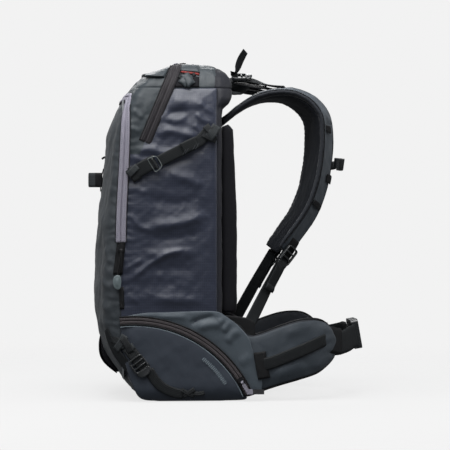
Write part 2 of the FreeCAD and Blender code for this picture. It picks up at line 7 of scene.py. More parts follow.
import bpy
import numpy as np
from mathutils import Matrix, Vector


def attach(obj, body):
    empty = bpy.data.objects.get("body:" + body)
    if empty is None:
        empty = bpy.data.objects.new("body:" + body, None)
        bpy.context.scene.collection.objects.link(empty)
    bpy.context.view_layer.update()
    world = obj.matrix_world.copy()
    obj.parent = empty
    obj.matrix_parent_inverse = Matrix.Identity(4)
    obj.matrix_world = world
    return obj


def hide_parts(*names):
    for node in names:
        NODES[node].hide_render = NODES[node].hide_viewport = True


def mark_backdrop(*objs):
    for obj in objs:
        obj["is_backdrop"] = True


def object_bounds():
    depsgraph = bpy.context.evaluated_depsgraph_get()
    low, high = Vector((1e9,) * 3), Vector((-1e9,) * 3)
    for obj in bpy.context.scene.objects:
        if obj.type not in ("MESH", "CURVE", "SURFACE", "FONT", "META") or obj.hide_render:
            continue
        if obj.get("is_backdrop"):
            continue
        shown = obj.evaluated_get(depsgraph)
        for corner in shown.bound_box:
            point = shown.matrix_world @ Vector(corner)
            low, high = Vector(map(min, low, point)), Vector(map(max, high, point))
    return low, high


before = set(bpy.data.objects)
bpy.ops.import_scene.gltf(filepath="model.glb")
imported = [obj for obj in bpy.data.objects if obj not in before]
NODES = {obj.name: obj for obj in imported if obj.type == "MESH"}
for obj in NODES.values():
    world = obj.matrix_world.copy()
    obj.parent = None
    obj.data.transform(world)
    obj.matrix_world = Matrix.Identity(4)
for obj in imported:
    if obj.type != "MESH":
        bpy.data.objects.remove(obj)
CAD_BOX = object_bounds()
MM = 0.001
ROOT = "pack"
BAND_SCALE = 0.31416    # a band texture at this scale repeats once in each unit
WEB_WIDE = 20           # standard webbing, mm
BELT_WIDE = 38          # hip belt webbing, mm
PUFF_FRAMES = 20        # length of each cloth simulation


# ------------------------------------------------------------------ numbers and curves
def pchip(x, y):
    """Monotone cubic through (x, y) columns; returns a function of x."""
    x, y = np.asarray(x, float), np.asarray(y, float)
    h, d = np.diff(x), np.diff(y) / np.diff(x)
    m = np.zeros(len(x))
    m[0], m[-1] = d[0], d[-1]
    for i in range(1, len(x) - 1):
        if d[i - 1] * d[i] > 0:
            w1, w2 = 2 * h[i] + h[i - 1], h[i] + 2 * h[i - 1]
            m[i] = (w1 + w2) / (w1 / d[i - 1] + w2 / d[i])

    def at(q):
        q = np.clip(np.asarray(q, float), x[0], x[-1])
        i = np.clip(np.searchsorted(x, q) - 1, 0, len(x) - 2)
        s = (q - x[i]) / h[i]
        a, b = 2 * s**3 - 3 * s**2 + 1, s**3 - 2 * s**2 + s
        c, e = -2 * s**3 + 3 * s**2, s**3 - s**2
        return a * y[i] + b * h[i] * m[i] + c * y[i + 1] + e * h[i] * m[i + 1]

    return at


def smooth_path(points, count):
    """Points evenly spaced along a smooth curve through the given ones, any column count."""
    p = np.asarray(points, float)
    n = len(p)
    ends = np.vstack([2 * p[0] - p[1], p, 2 * p[-1] - p[-2]])
    out = []
    for i in range(n - 1):
        a, b, c, d = ends[i : i + 4]
        t = np.linspace(0, 1, 24, endpoint=i == n - 2)[:, None]
        out.append(
            0.5 * (2 * b + (c - a) * t + (2 * a - 5 * b + 4 * c - d) * t**2 + (3 * b - a - 3 * c + d) * t**3)
        )
    q = np.vstack(out)
    step = np.linalg.norm(np.diff(q[:, : min(3, q.shape[1])], axis=0), axis=1)
    s = np.concatenate([[0], np.cumsum(step)])
    want = np.linspace(0, s[-1], count)
    return np.stack([np.interp(want, s, q[:, k]) for k in range(q.shape[1])], axis=1)


def unit(v):
    return v / np.maximum(np.linalg.norm(v, axis=-1, keepdims=True), 1e-9)


def bumps(seed, u, v, scale, octaves=3):
    """Smooth repeatable noise about zero, from waves in random directions; scale in mm."""
    rng = np.random.default_rng(seed)
    total = np.zeros(np.broadcast(u, v).shape)
    for o in range(octaves):
        size = scale / 1.9**o
        for _ in range(7):
            a, p, q = rng.uniform(0, math.tau, 3)
            k = math.tau / (size * rng.uniform(0.75, 1.5))
            warp = 0.9 * np.sin((u * math.cos(q) + v * math.sin(q)) * k * 0.43 + p)
            total += np.sin((u * math.cos(a) + v * math.sin(a)) * k + p + warp) * 0.62**o
    return total / 5.0


# ------------------------------------------------------------------ materials
def new_material(name):
    """A fresh material with its node tree and its shader."""
    mat = bpy.data.materials.new(name)
    mat.use_nodes = True
    nt = mat.node_tree
    return mat, nt, nt.nodes["Principled BSDF"]


def node(nt, kind, **values):
    n = nt.nodes.new(kind)
    for key, value in values.items():
        if key in n.inputs:
            n.inputs[key].default_value = value
        else:
            setattr(n, key, value)
    return n


def cloth_vector(nt, use_uv):
    """Coordinates in metres: along and across the cloth, or the object's own for a CAD part."""
    if use_uv:
        return node(nt, "ShaderNodeUVMap", uv_map="cloth").outputs["UV"]
    return node(nt, "ShaderNodeTexCoord").outputs["Object"]


def wave(nt, vector, axis, period_mm):
    """A band pattern of that period; its output is 0 to 1."""
    w = node(nt, "ShaderNodeTexWave", wave_type="BANDS", bands_direction=axis,
             Scale=BAND_SCALE / (period_mm * MM))
    nt.links.new(vector, w.inputs["Vector"])
    return w.outputs["Fac"]


def math_node(nt, op, a, b):
    m = node(nt, "ShaderNodeMath", operation=op)
    for i, value in enumerate((a, b)):
        if isinstance(value, (int, float)):
            m.inputs[i].default_value = value
        else:
            nt.links.new(value, m.inputs[i])
    return m.outputs[0]


def mix_colour(nt, factor, a, b):
    m = node(nt, "ShaderNodeMix", data_type="RGBA")
    for i, value in ((0, factor), (6, a), (7, b)):
        if isinstance(value, (int, float)):
            m.inputs[i].default_value = value
        elif isinstance(value, tuple):
            m.inputs[i].default_value = (*value, 1)
        else:
            nt.links.new(value, m.inputs[i])
    return m.outputs[2]


def roughen(nt, bsdf, height, strength, distance, **values):
    """Drives the shader's normal from a height."""
    bump = node(nt, "ShaderNodeBump", Strength=strength, Distance=distance, **values)
    nt.links.new(height, bump.inputs["Height"])
    nt.links.new(bump.outputs[0], bsdf.inputs["Normal"])


def shade(colour, factor):
    return tuple(min(1.0, c * factor) for c in colour)


def noise(nt, vector, size_mm, detail=3.0):
    n = node(nt, "ShaderNodeTexNoise", Scale=1 / (size_mm * MM), Detail=detail)
    nt.links.new(vector, n.inputs["Vector"])
    return n.outputs["Fac"]


def fabric(name, colour, rough=0.5, thread=0.7, grid=0.0, strength=0.25, worn=0.16, spec=0.35):
    """Woven nylon: threads, an optional ripstop grid and slow changes of tone."""
    mat, nt, bsdf = new_material(name)
    vec = cloth_vector(nt, True)
    weave = math_node(nt, "MULTIPLY", wave(nt, vec, "X", thread), wave(nt, vec, "Y", thread))
    height = math_node(nt, "MULTIPLY", weave, 0.5)
    tone = mix_colour(nt, noise(nt, vec, 38), shade(colour, 1 - worn), shade(colour, 1 + worn))
    tone = mix_colour(nt, weave, tone, mix_colour(nt, 0.75, tone, shade(colour, 1.5)))
    if grid:
        lines = math_node(
            nt, "MAXIMUM",
            math_node(nt, "POWER", wave(nt, vec, "X", grid), 9.0),
            math_node(nt, "POWER", wave(nt, vec, "Y", grid * 1.3), 14.0),
        )
        tone = mix_colour(nt, math_node(nt, "MULTIPLY", lines, 0.45), tone, shade(colour, 1.9))
        height = math_node(nt, "ADD", height, math_node(nt, "MULTIPLY", lines, 0.8))
    roughen(nt, bsdf, height, strength, 0.0004)
    nt.links.new(tone, bsdf.inputs["Base Color"])
    spread = math_node(nt, "MULTIPLY", noise(nt, vec, 9, 2.0), 0.14)
    nt.links.new(math_node(nt, "ADD", spread, rough - 0.07), bsdf.inputs["Roughness"])
    bsdf.inputs["Sheen Weight"].default_value = 0.08
    bsdf.inputs["Sheen Roughness"].default_value = 0.45
    bsdf.inputs["Specular IOR Level"].default_value = spec
    return mat


def woven_tape(name, colour, rib, rough=0.62):
    """Webbing or zip tape: ribs across and a herringbone along."""
    mat, nt, bsdf = new_material(name)
    vec = cloth_vector(nt, True)
    height = math_node(nt, "MULTIPLY", wave(nt, vec, "Y", rib), wave(nt, vec, "X", rib * 1.7))
    tone = mix_colour(nt, height, shade(colour, 0.6), shade(colour, 1.35))
    tone = mix_colour(nt, math_node(nt, "MULTIPLY", noise(nt, vec, 14), 0.5), tone, shade(colour, 0.8))
    roughen(nt, bsdf, height, 0.6, 0.0005)
    nt.links.new(tone, bsdf.inputs["Base Color"])
    bsdf.inputs["Roughness"].default_value = rough
    bsdf.inputs["Specular IOR Level"].default_value = 0.28
    return mat


def moulded(name, colour, rough=0.38, spec=0.5, metallic=0.0):
    """Moulded plastic or enamelled metal with a fine grain."""
    mat, nt, bsdf = new_material(name)
    vec = cloth_vector(nt, False)
    n = noise(nt, vec, 0.8, 4.0)
    tone = mix_colour(nt, noise(nt, vec, 11), shade(colour, 0.85), shade(colour, 1.2))
    roughen(nt, bsdf, n, 0.18, 0.0002)
    nt.links.new(tone, bsdf.inputs["Base Color"])
    spread = math_node(nt, "MULTIPLY", n, 0.16)
    nt.links.new(math_node(nt, "ADD", spread, rough - 0.08), bsdf.inputs["Roughness"])
    bsdf.inputs["Specular IOR Level"].default_value = spec
    bsdf.inputs["Metallic"].default_value = metallic
    return mat


def mesh_cloth(name, colour, hole):
    """Spacer mesh: small round holes in rows over dark foam."""
    mat, nt, bsdf = new_material(name)
    vec = cloth_vector(nt, True)
    holes = math_node(nt, "MULTIPLY", wave(nt, vec, "X", hole), wave(nt, vec, "Y", hole))
    holes = math_node(nt, "POWER", holes, 2.0)
    tone = mix_colour(nt, holes, shade(colour, 1.5), shade(colour, 0.35))
    roughen(nt, bsdf, holes, 0.7, 0.0008, invert=True)
    nt.links.new(tone, bsdf.inputs["Base Color"])
    bsdf.inputs["Roughness"].default_value = 0.8
    bsdf.inputs["Specular IOR Level"].default_value = 0.2
    return mat


def woven_pull(name, upper, lower, tip_y):
    """A short woven cord, dark on its folded tip: the part past tip_y metres."""
    mat, nt, bsdf = new_material(name)
    vec = cloth_vector(nt, False)
    split = node(nt, "ShaderNodeSeparateXYZ")
    nt.links.new(vec, split.inputs[0])
    level = math_node(nt, "GREATER_THAN", split.outputs["Y"], tip_y)
    ribs = wave(nt, vec, "Z", 1.3)
    cord = mix_colour(nt, ribs, shade(upper, 0.75), upper)
    tone = mix_colour(nt, level, cord, mix_colour(nt, ribs, lower, shade(lower, 2)))
    nt.links.new(tone, bsdf.inputs["Base Color"])
    roughen(nt, bsdf, ribs, 0.5, 0.0004)
    bsdf.inputs["Roughness"].default_value = 0.55
    return mat


MAT = {
    "side": fabric("ripstop_navy", (0.027, 0.032, 0.052), rough=0.36, grid=3.4, spec=0.5),
    "front": fabric("pocket_slate", (0.036, 0.043, 0.050), rough=0.5, thread=0.8),
    "lid": fabric("lid_slate", (0.034, 0.043, 0.050), rough=0.48, thread=0.8),
    "stash": fabric("stash_slate", (0.033, 0.041, 0.056), rough=0.6, thread=0.8, worn=0.06, strength=0.12),
    "gusset": fabric("gusset_slate", (0.064, 0.080, 0.096), rough=0.5, thread=0.8),
    "wing": fabric("wing_slate", (0.040, 0.050, 0.062), rough=0.55, thread=0.8),
    "back": fabric("back_navy", (0.012, 0.013, 0.019), rough=0.55, thread=0.8),
    "strap": fabric("strap_slate", (0.056, 0.068, 0.082), rough=0.55, thread=0.8),
    "lining": fabric("lining_black", (0.019, 0.0215, 0.027), rough=0.65, thread=1.1, spec=0.2),
    "binding": woven_tape("binding_black", (0.006, 0.0065, 0.008), rib=1.0),
    "pad": mesh_cloth("pad_mesh", (0.006, 0.006, 0.008), hole=2.6),
    "foam": fabric("pad_skin", (0.008, 0.008, 0.011), rough=0.7, thread=1.0, spec=0.2),
    "web": woven_tape("webbing_black", (0.012, 0.0145, 0.0165), rib=1.5),
    # A lighter copy of the black webbing: a painted highlight on folded tabs and on the gear loop's outer
    # end.
    "web_grey": woven_tape("webbing_painted_highlight", (0.04, 0.046, 0.05), rib=1.5),
    "zip_light": woven_tape("zip_lavender", (0.36, 0.345, 0.42), rib=1.0, rough=0.5),
    "zip_dark": woven_tape("zip_brown", (0.030, 0.026, 0.031), rib=1.9, rough=0.6),
    "zip_stash": woven_tape("zip_taupe", (0.078, 0.068, 0.072), rib=1.2, rough=0.55),
    "plastic": moulded("acetal_black", (0.016, 0.018, 0.020), rough=0.27, spec=0.8),
    "metal": moulded("enamel_black", (0.03, 0.03, 0.033), rough=0.3, metallic=0.6),
    "wire": moulded("wire_steel", (0.16, 0.18, 0.18), rough=0.35, metallic=0.6),
    "tag": moulded("tag_teal", (0.13, 0.165, 0.175), rough=0.45),
    "puller": woven_tape("puller_lavender", (0.34, 0.33, 0.40), rib=1.0),
    "puller_side": woven_pull("puller_two_tone", (0.30, 0.29, 0.35), (0.012, 0.012, 0.014), 0.1065),
    "red": fabric("lining_red", (0.20, 0.012, 0.009), rough=0.6),
    # Grey print on the stash strokes, and also a painted highlight: the pale cord beside the stash zip stands
    # for light catching its black piping.
    "print": moulded("grey_print_and_highlight", (0.20, 0.245, 0.28), rough=0.6),
    "thread": moulded("thread_dark", (0.012, 0.013, 0.016), rough=0.7),
    "thread_light": moulded("thread_grey", (0.09, 0.10, 0.115), rough=0.7),
    "inner": fabric("inner_grey", (0.20, 0.21, 0.22), rough=0.7),
    "sheet": moulded("sheet_black", (0.03, 0.03, 0.032), rough=0.5),
    "stay": moulded("stay_aluminium", (0.55, 0.56, 0.58), rough=0.35, metallic=1.0),
}


# ------------------------------------------------------------------ pieces
def piece(name, verts, faces, mats, uvs=None, face_mats=None, body=ROOT, slot=None, replaces=()):
    """A mesh from millimetre points. uvs holds one pair for each corner of each face."""
    data = bpy.data.meshes.new(name)
    data.from_pydata([tuple(v) for v in np.asarray(verts, float) * MM], [], faces)
    mats = mats if isinstance(mats, (list, tuple)) else [mats]
    for m in mats:
        data.materials.append(MAT[m])
    if face_mats is not None:
        data.polygons.foreach_set("material_index", np.asarray(face_mats, np.int32))
    if uvs is not None:
        layer = data.uv_layers.new(name="cloth")
        layer.data.foreach_set("uv", (np.asarray(uvs, float) * MM).ravel())
    data.polygons.foreach_set("use_smooth", [True] * len(data.polygons))
    data.validate()
    obj = bpy.data.objects.new(name, data)
    bpy.context.scene.collection.objects.link(obj)
    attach(obj, body)
    if replaces:
        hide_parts(*replaces)
    return obj


def paint(obj, mat, rule):
    """Gives the faces that rule picks, from their centres in mm, another cloth."""
    obj.data.materials.append(MAT[mat])
    index = len(obj.data.materials) - 1
    centres = np.empty(len(obj.data.polygons) * 3)
    obj.data.polygons.foreach_get("center", centres)
    now = np.empty(len(obj.data.polygons), np.int32)
    obj.data.polygons.foreach_get("material_index", now)
    now[rule(centres.reshape(-1, 3) / MM)] = index
    obj.data.polygons.foreach_set("material_index", now)


def grid_faces(rows, cols, wrap=False, flip=False):
    """Quads of a grid of rows by cols points, and each corner's (row, column)."""
    faces, corners = [], []
    last = cols if wrap else cols - 1
    for i in range(rows - 1):
        for j in range(last):
            k = (j + 1) % cols
            quad = [(i, j, j), (i, k, j + 1), (i + 1, k, j + 1), (i + 1, j, j)]
            if flip:
                quad = quad[::-1]
            faces.append([a * cols + b for a, b, _ in quad])
            corners.append([(a, c) for a, _, c in quad])
    return faces, corners


def lengths(points):
    """Distance along each row of points, from its start."""
    d = np.linalg.norm(np.diff(points, axis=0), axis=-1)
    return np.concatenate([[0], np.cumsum(d)])


def grid_piece(name, pts, mats, thick, flip=False, **rest):
    """A sheet from a rows x cols array of points, with cloth coordinates in mm."""
    rows, cols = pts.shape[:2]
    faces, corners = grid_faces(rows, cols, flip=flip)
    u = lengths(pts[rows // 2])
    v = lengths(pts[:, cols // 2])
    uvs = [(u[c], v[r]) for quad in corners for r, c in quad]
    obj = piece(name, pts.reshape(-1, 3), faces, mats, uvs, **rest)
    m = obj.modifiers.new("thickness", "SOLIDIFY")
    m.thickness = thick * MM
    m.offset = -1
    return obj


def tube_piece(name, sections, mats, face_mats=None, flip=False, **rest):
    """A closed form through rings of points: rows x around x 3."""
    rows, around = sections.shape[:2]
    faces, corners = grid_faces(rows, around, wrap=True, flip=flip)
    ring = sections[rows // 2]
    u = np.concatenate([[0], np.cumsum(np.linalg.norm(np.roll(ring, -1, 0) - ring, axis=1))])
    v = lengths(sections.mean(axis=1))
    uvs = [(u[c], v[r]) for quad in corners for r, c in quad]
    made_mats = None
    if face_mats is not None:
        made_mats = [face_mats[min(c for _, c in quad)] for quad in corners]
    first = list(range(around))
    last = [(rows - 1) * around + k for k in range(around)]
    first, last = (first, last[::-1]) if flip else (first[::-1], last)
    for loop, row in ((first, 0), (last, rows - 1)):
        faces.append(loop)
        uvs += [(u[i % around], v[row]) for i in loop]
        if made_mats is not None:
            made_mats.append(face_mats[0])
    return piece(name, sections.reshape(-1, 3), faces, mats, uvs, made_mats, **rest)


def mirrored(points):
    out = np.array(points, float)
    out[..., 0] *= -1
    return out


def sided(points, sign):
    """The points for the wearer's right, or their mirror image when sign is -1."""
    return points if sign > 0 else mirrored(points)


def both_sides(build):
    """Runs build(side name, sign) for the wearer's right and left."""
    for name, sign in (("right", 1), ("left", -1)):
        build(name, sign)


def sweep(path, across, outward, outline):
    """Rings along a path: outline holds (across, outward) pairs in mm, or one list per row."""
    outline = np.asarray(outline, float)
    if outline.ndim == 2:
        outline = np.repeat(outline[None], len(path), 0)
    return path[:, None] + across[:, None] * outline[..., :1] + outward[:, None] * outline[..., 1:]


def frames_along(path, outward):
    """Across and outward for a path whose outward direction is roughly known."""
    t = unit(np.gradient(path, axis=0))
    n = unit(outward - t * (outward * t).sum(-1, keepdims=True))
    return np.cross(t, n), n


def band_outline(width, thick):
    """A flat band's section with rounded edges."""
    x = np.linspace(-1, 1, 9)
    y = thick / 2 * (1 - np.abs(x) ** 6) * 0.6 + thick * 0.2
    top = np.stack([x * width / 2, y], 1)
    bottom = np.stack([x * width / 2, -y], 1)[::-1]
    return np.vstack([top, bottom])


def webbing(name, points, outward, width, thick, mat="web", count=None, sign=1, slot="webbing", **rest):
    """Flat webbing through millimetre points; outward is one direction or one for each point."""
    pts = np.asarray(points, float)
    out = np.asarray(outward, float)
    if out.ndim == 1:
        out = np.repeat(out[None], len(pts), 0)
    count = count or max(8, int(lengths(pts)[-1] / 3))
    both = smooth_path(np.hstack([pts, unit(out)]), count)
    across, n = frames_along(both[:, :3], both[:, 3:])
    rings = sweep(both[:, :3], across, n, band_outline(width, thick))
    rings = sided(rings, sign)
    return tube_piece(name, rings, mat, flip=sign > 0, slot=slot, **rest)


def cord_tube(name, points, radius, mat, count=None, sign=1, slot="webbing", **rest):
    """A round cord or piping through millimetre points."""
    count = count or max(8, int(lengths(np.asarray(points, float))[-1] / 2.5))
    path = smooth_path(points, count)
    t = unit(np.gradient(path, axis=0))
    a = unit(np.cross(t, np.array([0.31, 0.47, 0.83])))
    b = np.cross(t, a)
    angle = np.linspace(0, math.tau, 8, endpoint=False)
    rings = sided(sweep(path, a, b, np.stack([np.cos(angle), np.sin(angle)], 1) * radius), sign)
    return tube_piece(name, rings, mat, flip=sign > 0, slot=slot, **rest)


def stitches(name, lines, mat="thread_light", pitch=3.6, length=2.4, radius=0.32, sign=1, **rest):
    """Rows of single stitches. lines holds (points, outward directions) pairs in mm."""
    verts, faces = [], []
    for points, out in lines:
        points = np.asarray(points, float)
        total = lengths(points)[-1]
        count = max(2, int(total / pitch))
        out = np.asarray(out, float)
        if out.ndim == 1:
            out = np.repeat(out[None], len(points), 0)
        both = smooth_path(np.hstack([points, out]), count * 2)
        path, n = both[:, :3], unit(both[:, 3:])
        t = unit(np.gradient(path, axis=0))
        side = np.cross(t, n)
        for i in range(0, len(path), 2):
            base = len(verts)
            for along, high in ((-0.5, 0.0), (-0.28, 1.0), (0.28, 1.0), (0.5, 0.0)):
                c = path[i] + t[i] * length * along + n[i] * radius * high
                for k in range(4):
                    a = math.tau * k / 4 + math.pi / 4
                    r = radius * (0.35 if high == 0 else 1)
                    verts.append(c + side[i] * math.cos(a) * r + n[i] * math.sin(a) * r)
            for row in range(3):
                for k in range(4):
                    p, q = base + row * 4 + k, base + row * 4 + (k + 1) % 4
                    faces.append([p, q, q + 4, p + 4])
            faces.append([base + 3, base + 2, base + 1, base])
            faces.append([base + 12 + k for k in range(4)])
    verts = np.asarray(verts)
    verts = sided(verts, sign)
    if sign < 0:
        faces = [f[::-1] for f in faces]
    return piece(name, verts, faces, mat, **rest)


def puff(obj, cap, pin):
    """Swells a closed padded piece as pressed cloth; no point moves further than cap mm.
    pin holds one weight for each vertex: 1 stays put, as a sewn channel does."""
    scene = bpy.context.scene
    mesh = obj.data
    rest = np.empty(len(mesh.vertices) * 3)
    mesh.vertices.foreach_get("co", rest)
    cloth = obj.modifiers.new("puff", "CLOTH")
    cloth.settings.quality = 5
    cloth.settings.use_pressure = True
    cloth.settings.uniform_pressure_force = 4.0
    cloth.settings.effector_weights.gravity = 0.0
    cloth.settings.tension_stiffness = 12
    cloth.settings.compression_stiffness = 12
    cloth.settings.bending_stiffness = 0.4
    cloth.collision_settings.use_collision = False
    group = obj.vertex_groups.new(name="sewn")
    for i in np.nonzero(pin > 0)[0]:
        group.add([int(i)], float(pin[i]), "REPLACE")
    cloth.settings.vertex_group_mass = "sewn"
    for frame_number in range(1, PUFF_FRAMES + 1):
        scene.frame_set(frame_number)
    shaped = obj.evaluated_get(bpy.context.evaluated_depsgraph_get()).to_mesh()
    made = np.empty_like(rest)
    shaped.vertices.foreach_get("co", made)
    obj.modifiers.remove(cloth)
    move = (made - rest).reshape(-1, 3)
    far = np.linalg.norm(move, axis=1, keepdims=True)
    move *= np.minimum(1.0, cap * MM / np.maximum(far, 1e-9))
    mesh.vertices.foreach_set("co", (rest.reshape(-1, 3) + move).ravel())
    mesh.update()
    scene.frame_set(1)


def own_frame(origin, along, outward):
    """Turns points (along, across, outward) in mm about an origin into the shared frame."""
    ex = unit(np.asarray(along, float))
    ez = np.asarray(outward, float)
    ez = unit(ez - ex * (ez * ex).sum())
    basis = np.stack([ex, np.cross(ez, ex), ez])
    return lambda p: np.asarray(origin, float) + np.asarray(p, float) @ basis


def bar_rings(path, up, wide, thick, around=10):
    """Rings of a moulded bar along a path: a soft-cornered section wide by thick."""
    t = unit(np.gradient(path, axis=0))
    up = unit(np.asarray(up, float) - t * (t @ np.asarray(up, float))[:, None])
    side = np.cross(t, up)
    a = np.linspace(0, math.tau, around, endpoint=False) + math.pi / around
    c, q = np.cos(a), np.sin(a)
    outline = np.stack([wide / 2 * np.sign(c) * np.abs(c) ** 0.6,
                        thick / 2 * np.sign(q) * np.abs(q) ** 0.6], 1)
    return sweep(path, side, up, outline)


def joined(name, parts, mat, sign=1, **rest):
    """One piece from several rings-of-points forms; a closed one's first ring repeats last."""
    verts, faces = [], []
    for rings, capped in parts:
        rows, around = rings.shape[:2]
        base = sum(len(v) for v in verts)
        quads, _ = grid_faces(rows, around, wrap=True, flip=sign > 0)
        faces += [[base + i for i in q] for q in quads]
        if capped:
            first = [base + i for i in range(around)]
            last = [base + (rows - 1) * around + i for i in range(around)]
            faces += [first, last[::-1]] if sign > 0 else [first[::-1], last]
        verts.append(rings.reshape(-1, 3))
    verts = np.vstack(verts)
    verts = sided(verts, sign)
    return piece(name, verts, faces, mat, **rest)


def lock(name, body, origin, along, outward, length, width, thick, tab, replaces, sign=1):
    """A moulded webbing adjuster: rounded frame, two cross bars and a raised thumb tab."""
    at = own_frame(origin, along, outward)
    flat, half, corner = length - tab, width / 2 - 1.6, 4.0
    turn = np.linspace(0, math.pi / 2, 5)
    loop = []
    for cx, cy, start in ((flat - 1.5 - corner, half - corner, 0.0), (1.5 + corner, half - corner, 0.5),
                          (1.5 + corner, corner - half, 1.0), (flat - 1.5 - corner, corner - half, 1.5)):
        loop += [(cx + corner * math.cos(a + start * math.pi), cy + corner * math.sin(a + start * math.pi),
                  thick / 2) for a in turn]
    loop.append(loop[0])
    up = at([0, 0, 1]) - at([0, 0, 0])
    ring = bar_rings(at(loop), up, 3.2, thick)
    ring[-1] = ring[0]
    parts = [(ring, False)]
    for share, lift in ((0.36, 0.5), (0.66, 0.9)):
        reach = np.linspace(-half, half, 9)
        bar = at([(flat * share, y, thick / 2 + lift * (1 - (y / half) ** 2)) for y in reach])
        parts.append((bar_rings(bar, up, 3.0, thick * 0.9), True))
    lip = []
    for k in np.linspace(0, 1, 8):
        wide = (half + 1.6) * math.sqrt(max(0.03, 1 - (k * 0.96) ** 2.6))
        rise, body_half = thick * 0.55 + 2.2 * k**1.6, thick * (0.42 - 0.14 * k)
        lip.append(at([(flat - 2 + (tab + 1.4) * k, y, rise + h * body_half)
                       for y, h in ((-wide, 0), (-wide * 0.8, 1), (0, 1.05), (wide * 0.8, 1), (wide, 0),
                                    (wide * 0.8, -1), (0, -1), (-wide * 0.8, -1))]))
    parts.append((np.array(lip)[:, ::-1], True))
    obj = joined(name, parts, "plastic", sign=sign, body=body, slot="buckle_plastic", replaces=replaces)
    sub = obj.modifiers.new("soft_edges", "SUBSURF")
    sub.levels = sub.render_levels = 1
    return obj


# ------------------------------------------------------------------ the bag's skin
# height, front Y, back Y, half width, front corner radius, back corner radius
SECTIONS = np.array([
    (0, -66, 66, 131, 24, 12),
    (5, -78, 63, 137, 27, 13),
    (12, -88, 60, 140, 30, 14),
    (44, -112, 58, 142, 34, 14),
    (85, -136, 58, 142, 38, 14),
    (168, -149, 58, 142, 42, 14),
    (252, -147, 58, 142, 42, 14),
    (311, -141, 58, 142, 40, 14),
    (399, -132, 58, 140, 38, 14),
    (440, -126, 58, 138, 36, 14),
    (476, -114, 60, 133, 34, 16),
    (486, -108, 70, 131, 32, 22),
    (500, -100, 76, 127, 30, 26),
    (512, -92, 77, 123, 29, 28),
    (532, -70, 71, 110, 27, 28),
    (545, -42, 56, 92, 22, 24),
    (551.5, -14, 40, 68, 14, 16),
    (554.2, 0, 28, 34, 8, 8),
    (555, 13, 15, 3, 0.9, 0.9),
], float)
T_AXIS = np.concatenate([[0], np.cumsum(np.linalg.norm(np.diff(SECTIONS[:, [0, 1, 3]], axis=0), axis=1))])
COLUMNS = [pchip(T_AXIS, SECTIONS[:, k]) for k in range(6)]
FRONT_CROWN = 11.0      # how far the front falls back from its middle to its corners
SEAM = pchip([0, 12, 30, 60, 130, 258, 398, 470, 483, 497, 512, 530],
             [-74, -88, -99, -106.5, -106.5, -106.5, -100.5, -97, -95.5, -90, -83, -76])
FRONT_TOP_Z = 497.0
LID_Z = 510.0
BASE_Z = 12.0
BACK_Y = 50.0


def t_at(z):
    """The skin's own height coordinate where it passes height z."""
    fine = np.linspace(0, T_AXIS[-1], 4000)
    return np.interp(z, COLUMNS[0](fine), fine)


def skin(t, s):
    """Points of the bag's right half. s is 0 at the front's middle, 1, 2, 3 and 4 at the ends
    of the front, its corner, the side and the back corner, and 5 at the back's middle."""
    t, s = np.broadcast_arrays(np.asarray(t, float), np.asarray(s, float))
    z, front, back, half, rf, rb = [c(t) for c in COLUMNS]
    crown = np.minimum(FRONT_CROWN, rf * 0.45)
    inner = half - rf
    a = np.clip(s, 0, 1)
    x, y = inner * a, front + crown * a**2
    m = s > 1
    b = np.clip(s - 1, 0, 1) * math.pi / 2
    x = np.where(m, inner + rf * np.sin(b), x)
    y = np.where(m, front + rf - (rf - crown) * np.cos(b), y)
    m = s > 2
    c = np.clip(s - 2, 0, 1)
    x = np.where(m, half, x)
    y = np.where(m, front + rf + (back - rb - front - rf) * c, y)
    m = s > 3
    d = np.clip(s - 3, 0, 1) * math.pi / 2
    x = np.where(m, half - rb + rb * np.cos(d), x)
    y = np.where(m, back - rb + rb * np.sin(d), y)
    m = s > 4
    e = np.clip(s - 4, 0, 1)
    x = np.where(m, (half - rb) * (1 - e), x)
    y = np.where(m, back, y)
    return np.stack([x, y, z], -1)


def s_at_y(t, y):
    """Where the skin's right side passes a given Y, one value for each t."""
    fine = np.linspace(1.0, 4.0, 1200)
    out = []
    for ti, yi in zip(np.atleast_1d(t), np.atleast_1d(y)):
        out.append(np.interp(yi, skin(ti, fine)[:, 1], fine))
    return np.array(out)


def even_s(t, s0, s1, count):
    """Values of s from s0 to s1 that lie evenly along the cloth."""
    fine = np.linspace(s0, s1, 160)
    p = skin(np.full(160, t), fine)
    d = lengths(p)
    return np.interp(np.linspace(0, d[-1], count), d, fine)


def skin_patch(z0, z1, start, stop, rows, cols):
    """A patch of skin between two heights; start and stop give s for an array of t."""
    t = np.linspace(t_at(z0), t_at(z1), rows)
    lo, hi = start(t), stop(t)
    s = np.stack([even_s(ti, a, b, cols) for ti, a, b in zip(t, lo, hi)])
    return skin(t[:, None], s)


def normals(pts):
    """Outward normals of a grid that runs up in rows and round from front to back in columns."""
    n = np.cross(np.gradient(pts, axis=1), np.gradient(pts, axis=0))
    return unit(n)


def edge_distance(pts):
    """Distance in mm from each grid point to the nearest edge, and along its row and column."""
    rows, cols = pts.shape[:2]
    u = np.concatenate([np.zeros((rows, 1)), np.cumsum(np.linalg.norm(np.diff(pts, axis=1), axis=-1), 1)], 1)
    v = np.concatenate([np.zeros((1, cols)), np.cumsum(np.linalg.norm(np.diff(pts, axis=0), axis=-1), 0)], 0)
    return np.min([u, u[:, -1:] - u, v, v[-1:] - v], axis=0), u, v


def tuck(distance, depth=1.6, reach=5.0):
    """Cloth sinks towards a seam."""
    return -depth * np.exp(-distance / reach)


def ridge(y, z, line, width, height):
    """A fold along a smooth line of (Y, Z) points: height at its crest, fading at its ends."""
    path = smooth_path(line, 60)
    share = np.linspace(0, 1, len(path))
    swell = np.clip(np.minimum(share, 1 - share) / 0.25, 0, 1)
    swell = swell * swell * (3 - 2 * swell)
    best = np.full(y.shape, 1e9)
    level = np.zeros(y.shape)
    for (py, pz), k in zip(path, swell):
        d = (y - py) ** 2 + (z - pz) ** 2
        closer = d < best
        best = np.where(closer, d, best)
        level = np.where(closer, k, level)
    return height * level * np.exp(-best / width**2)


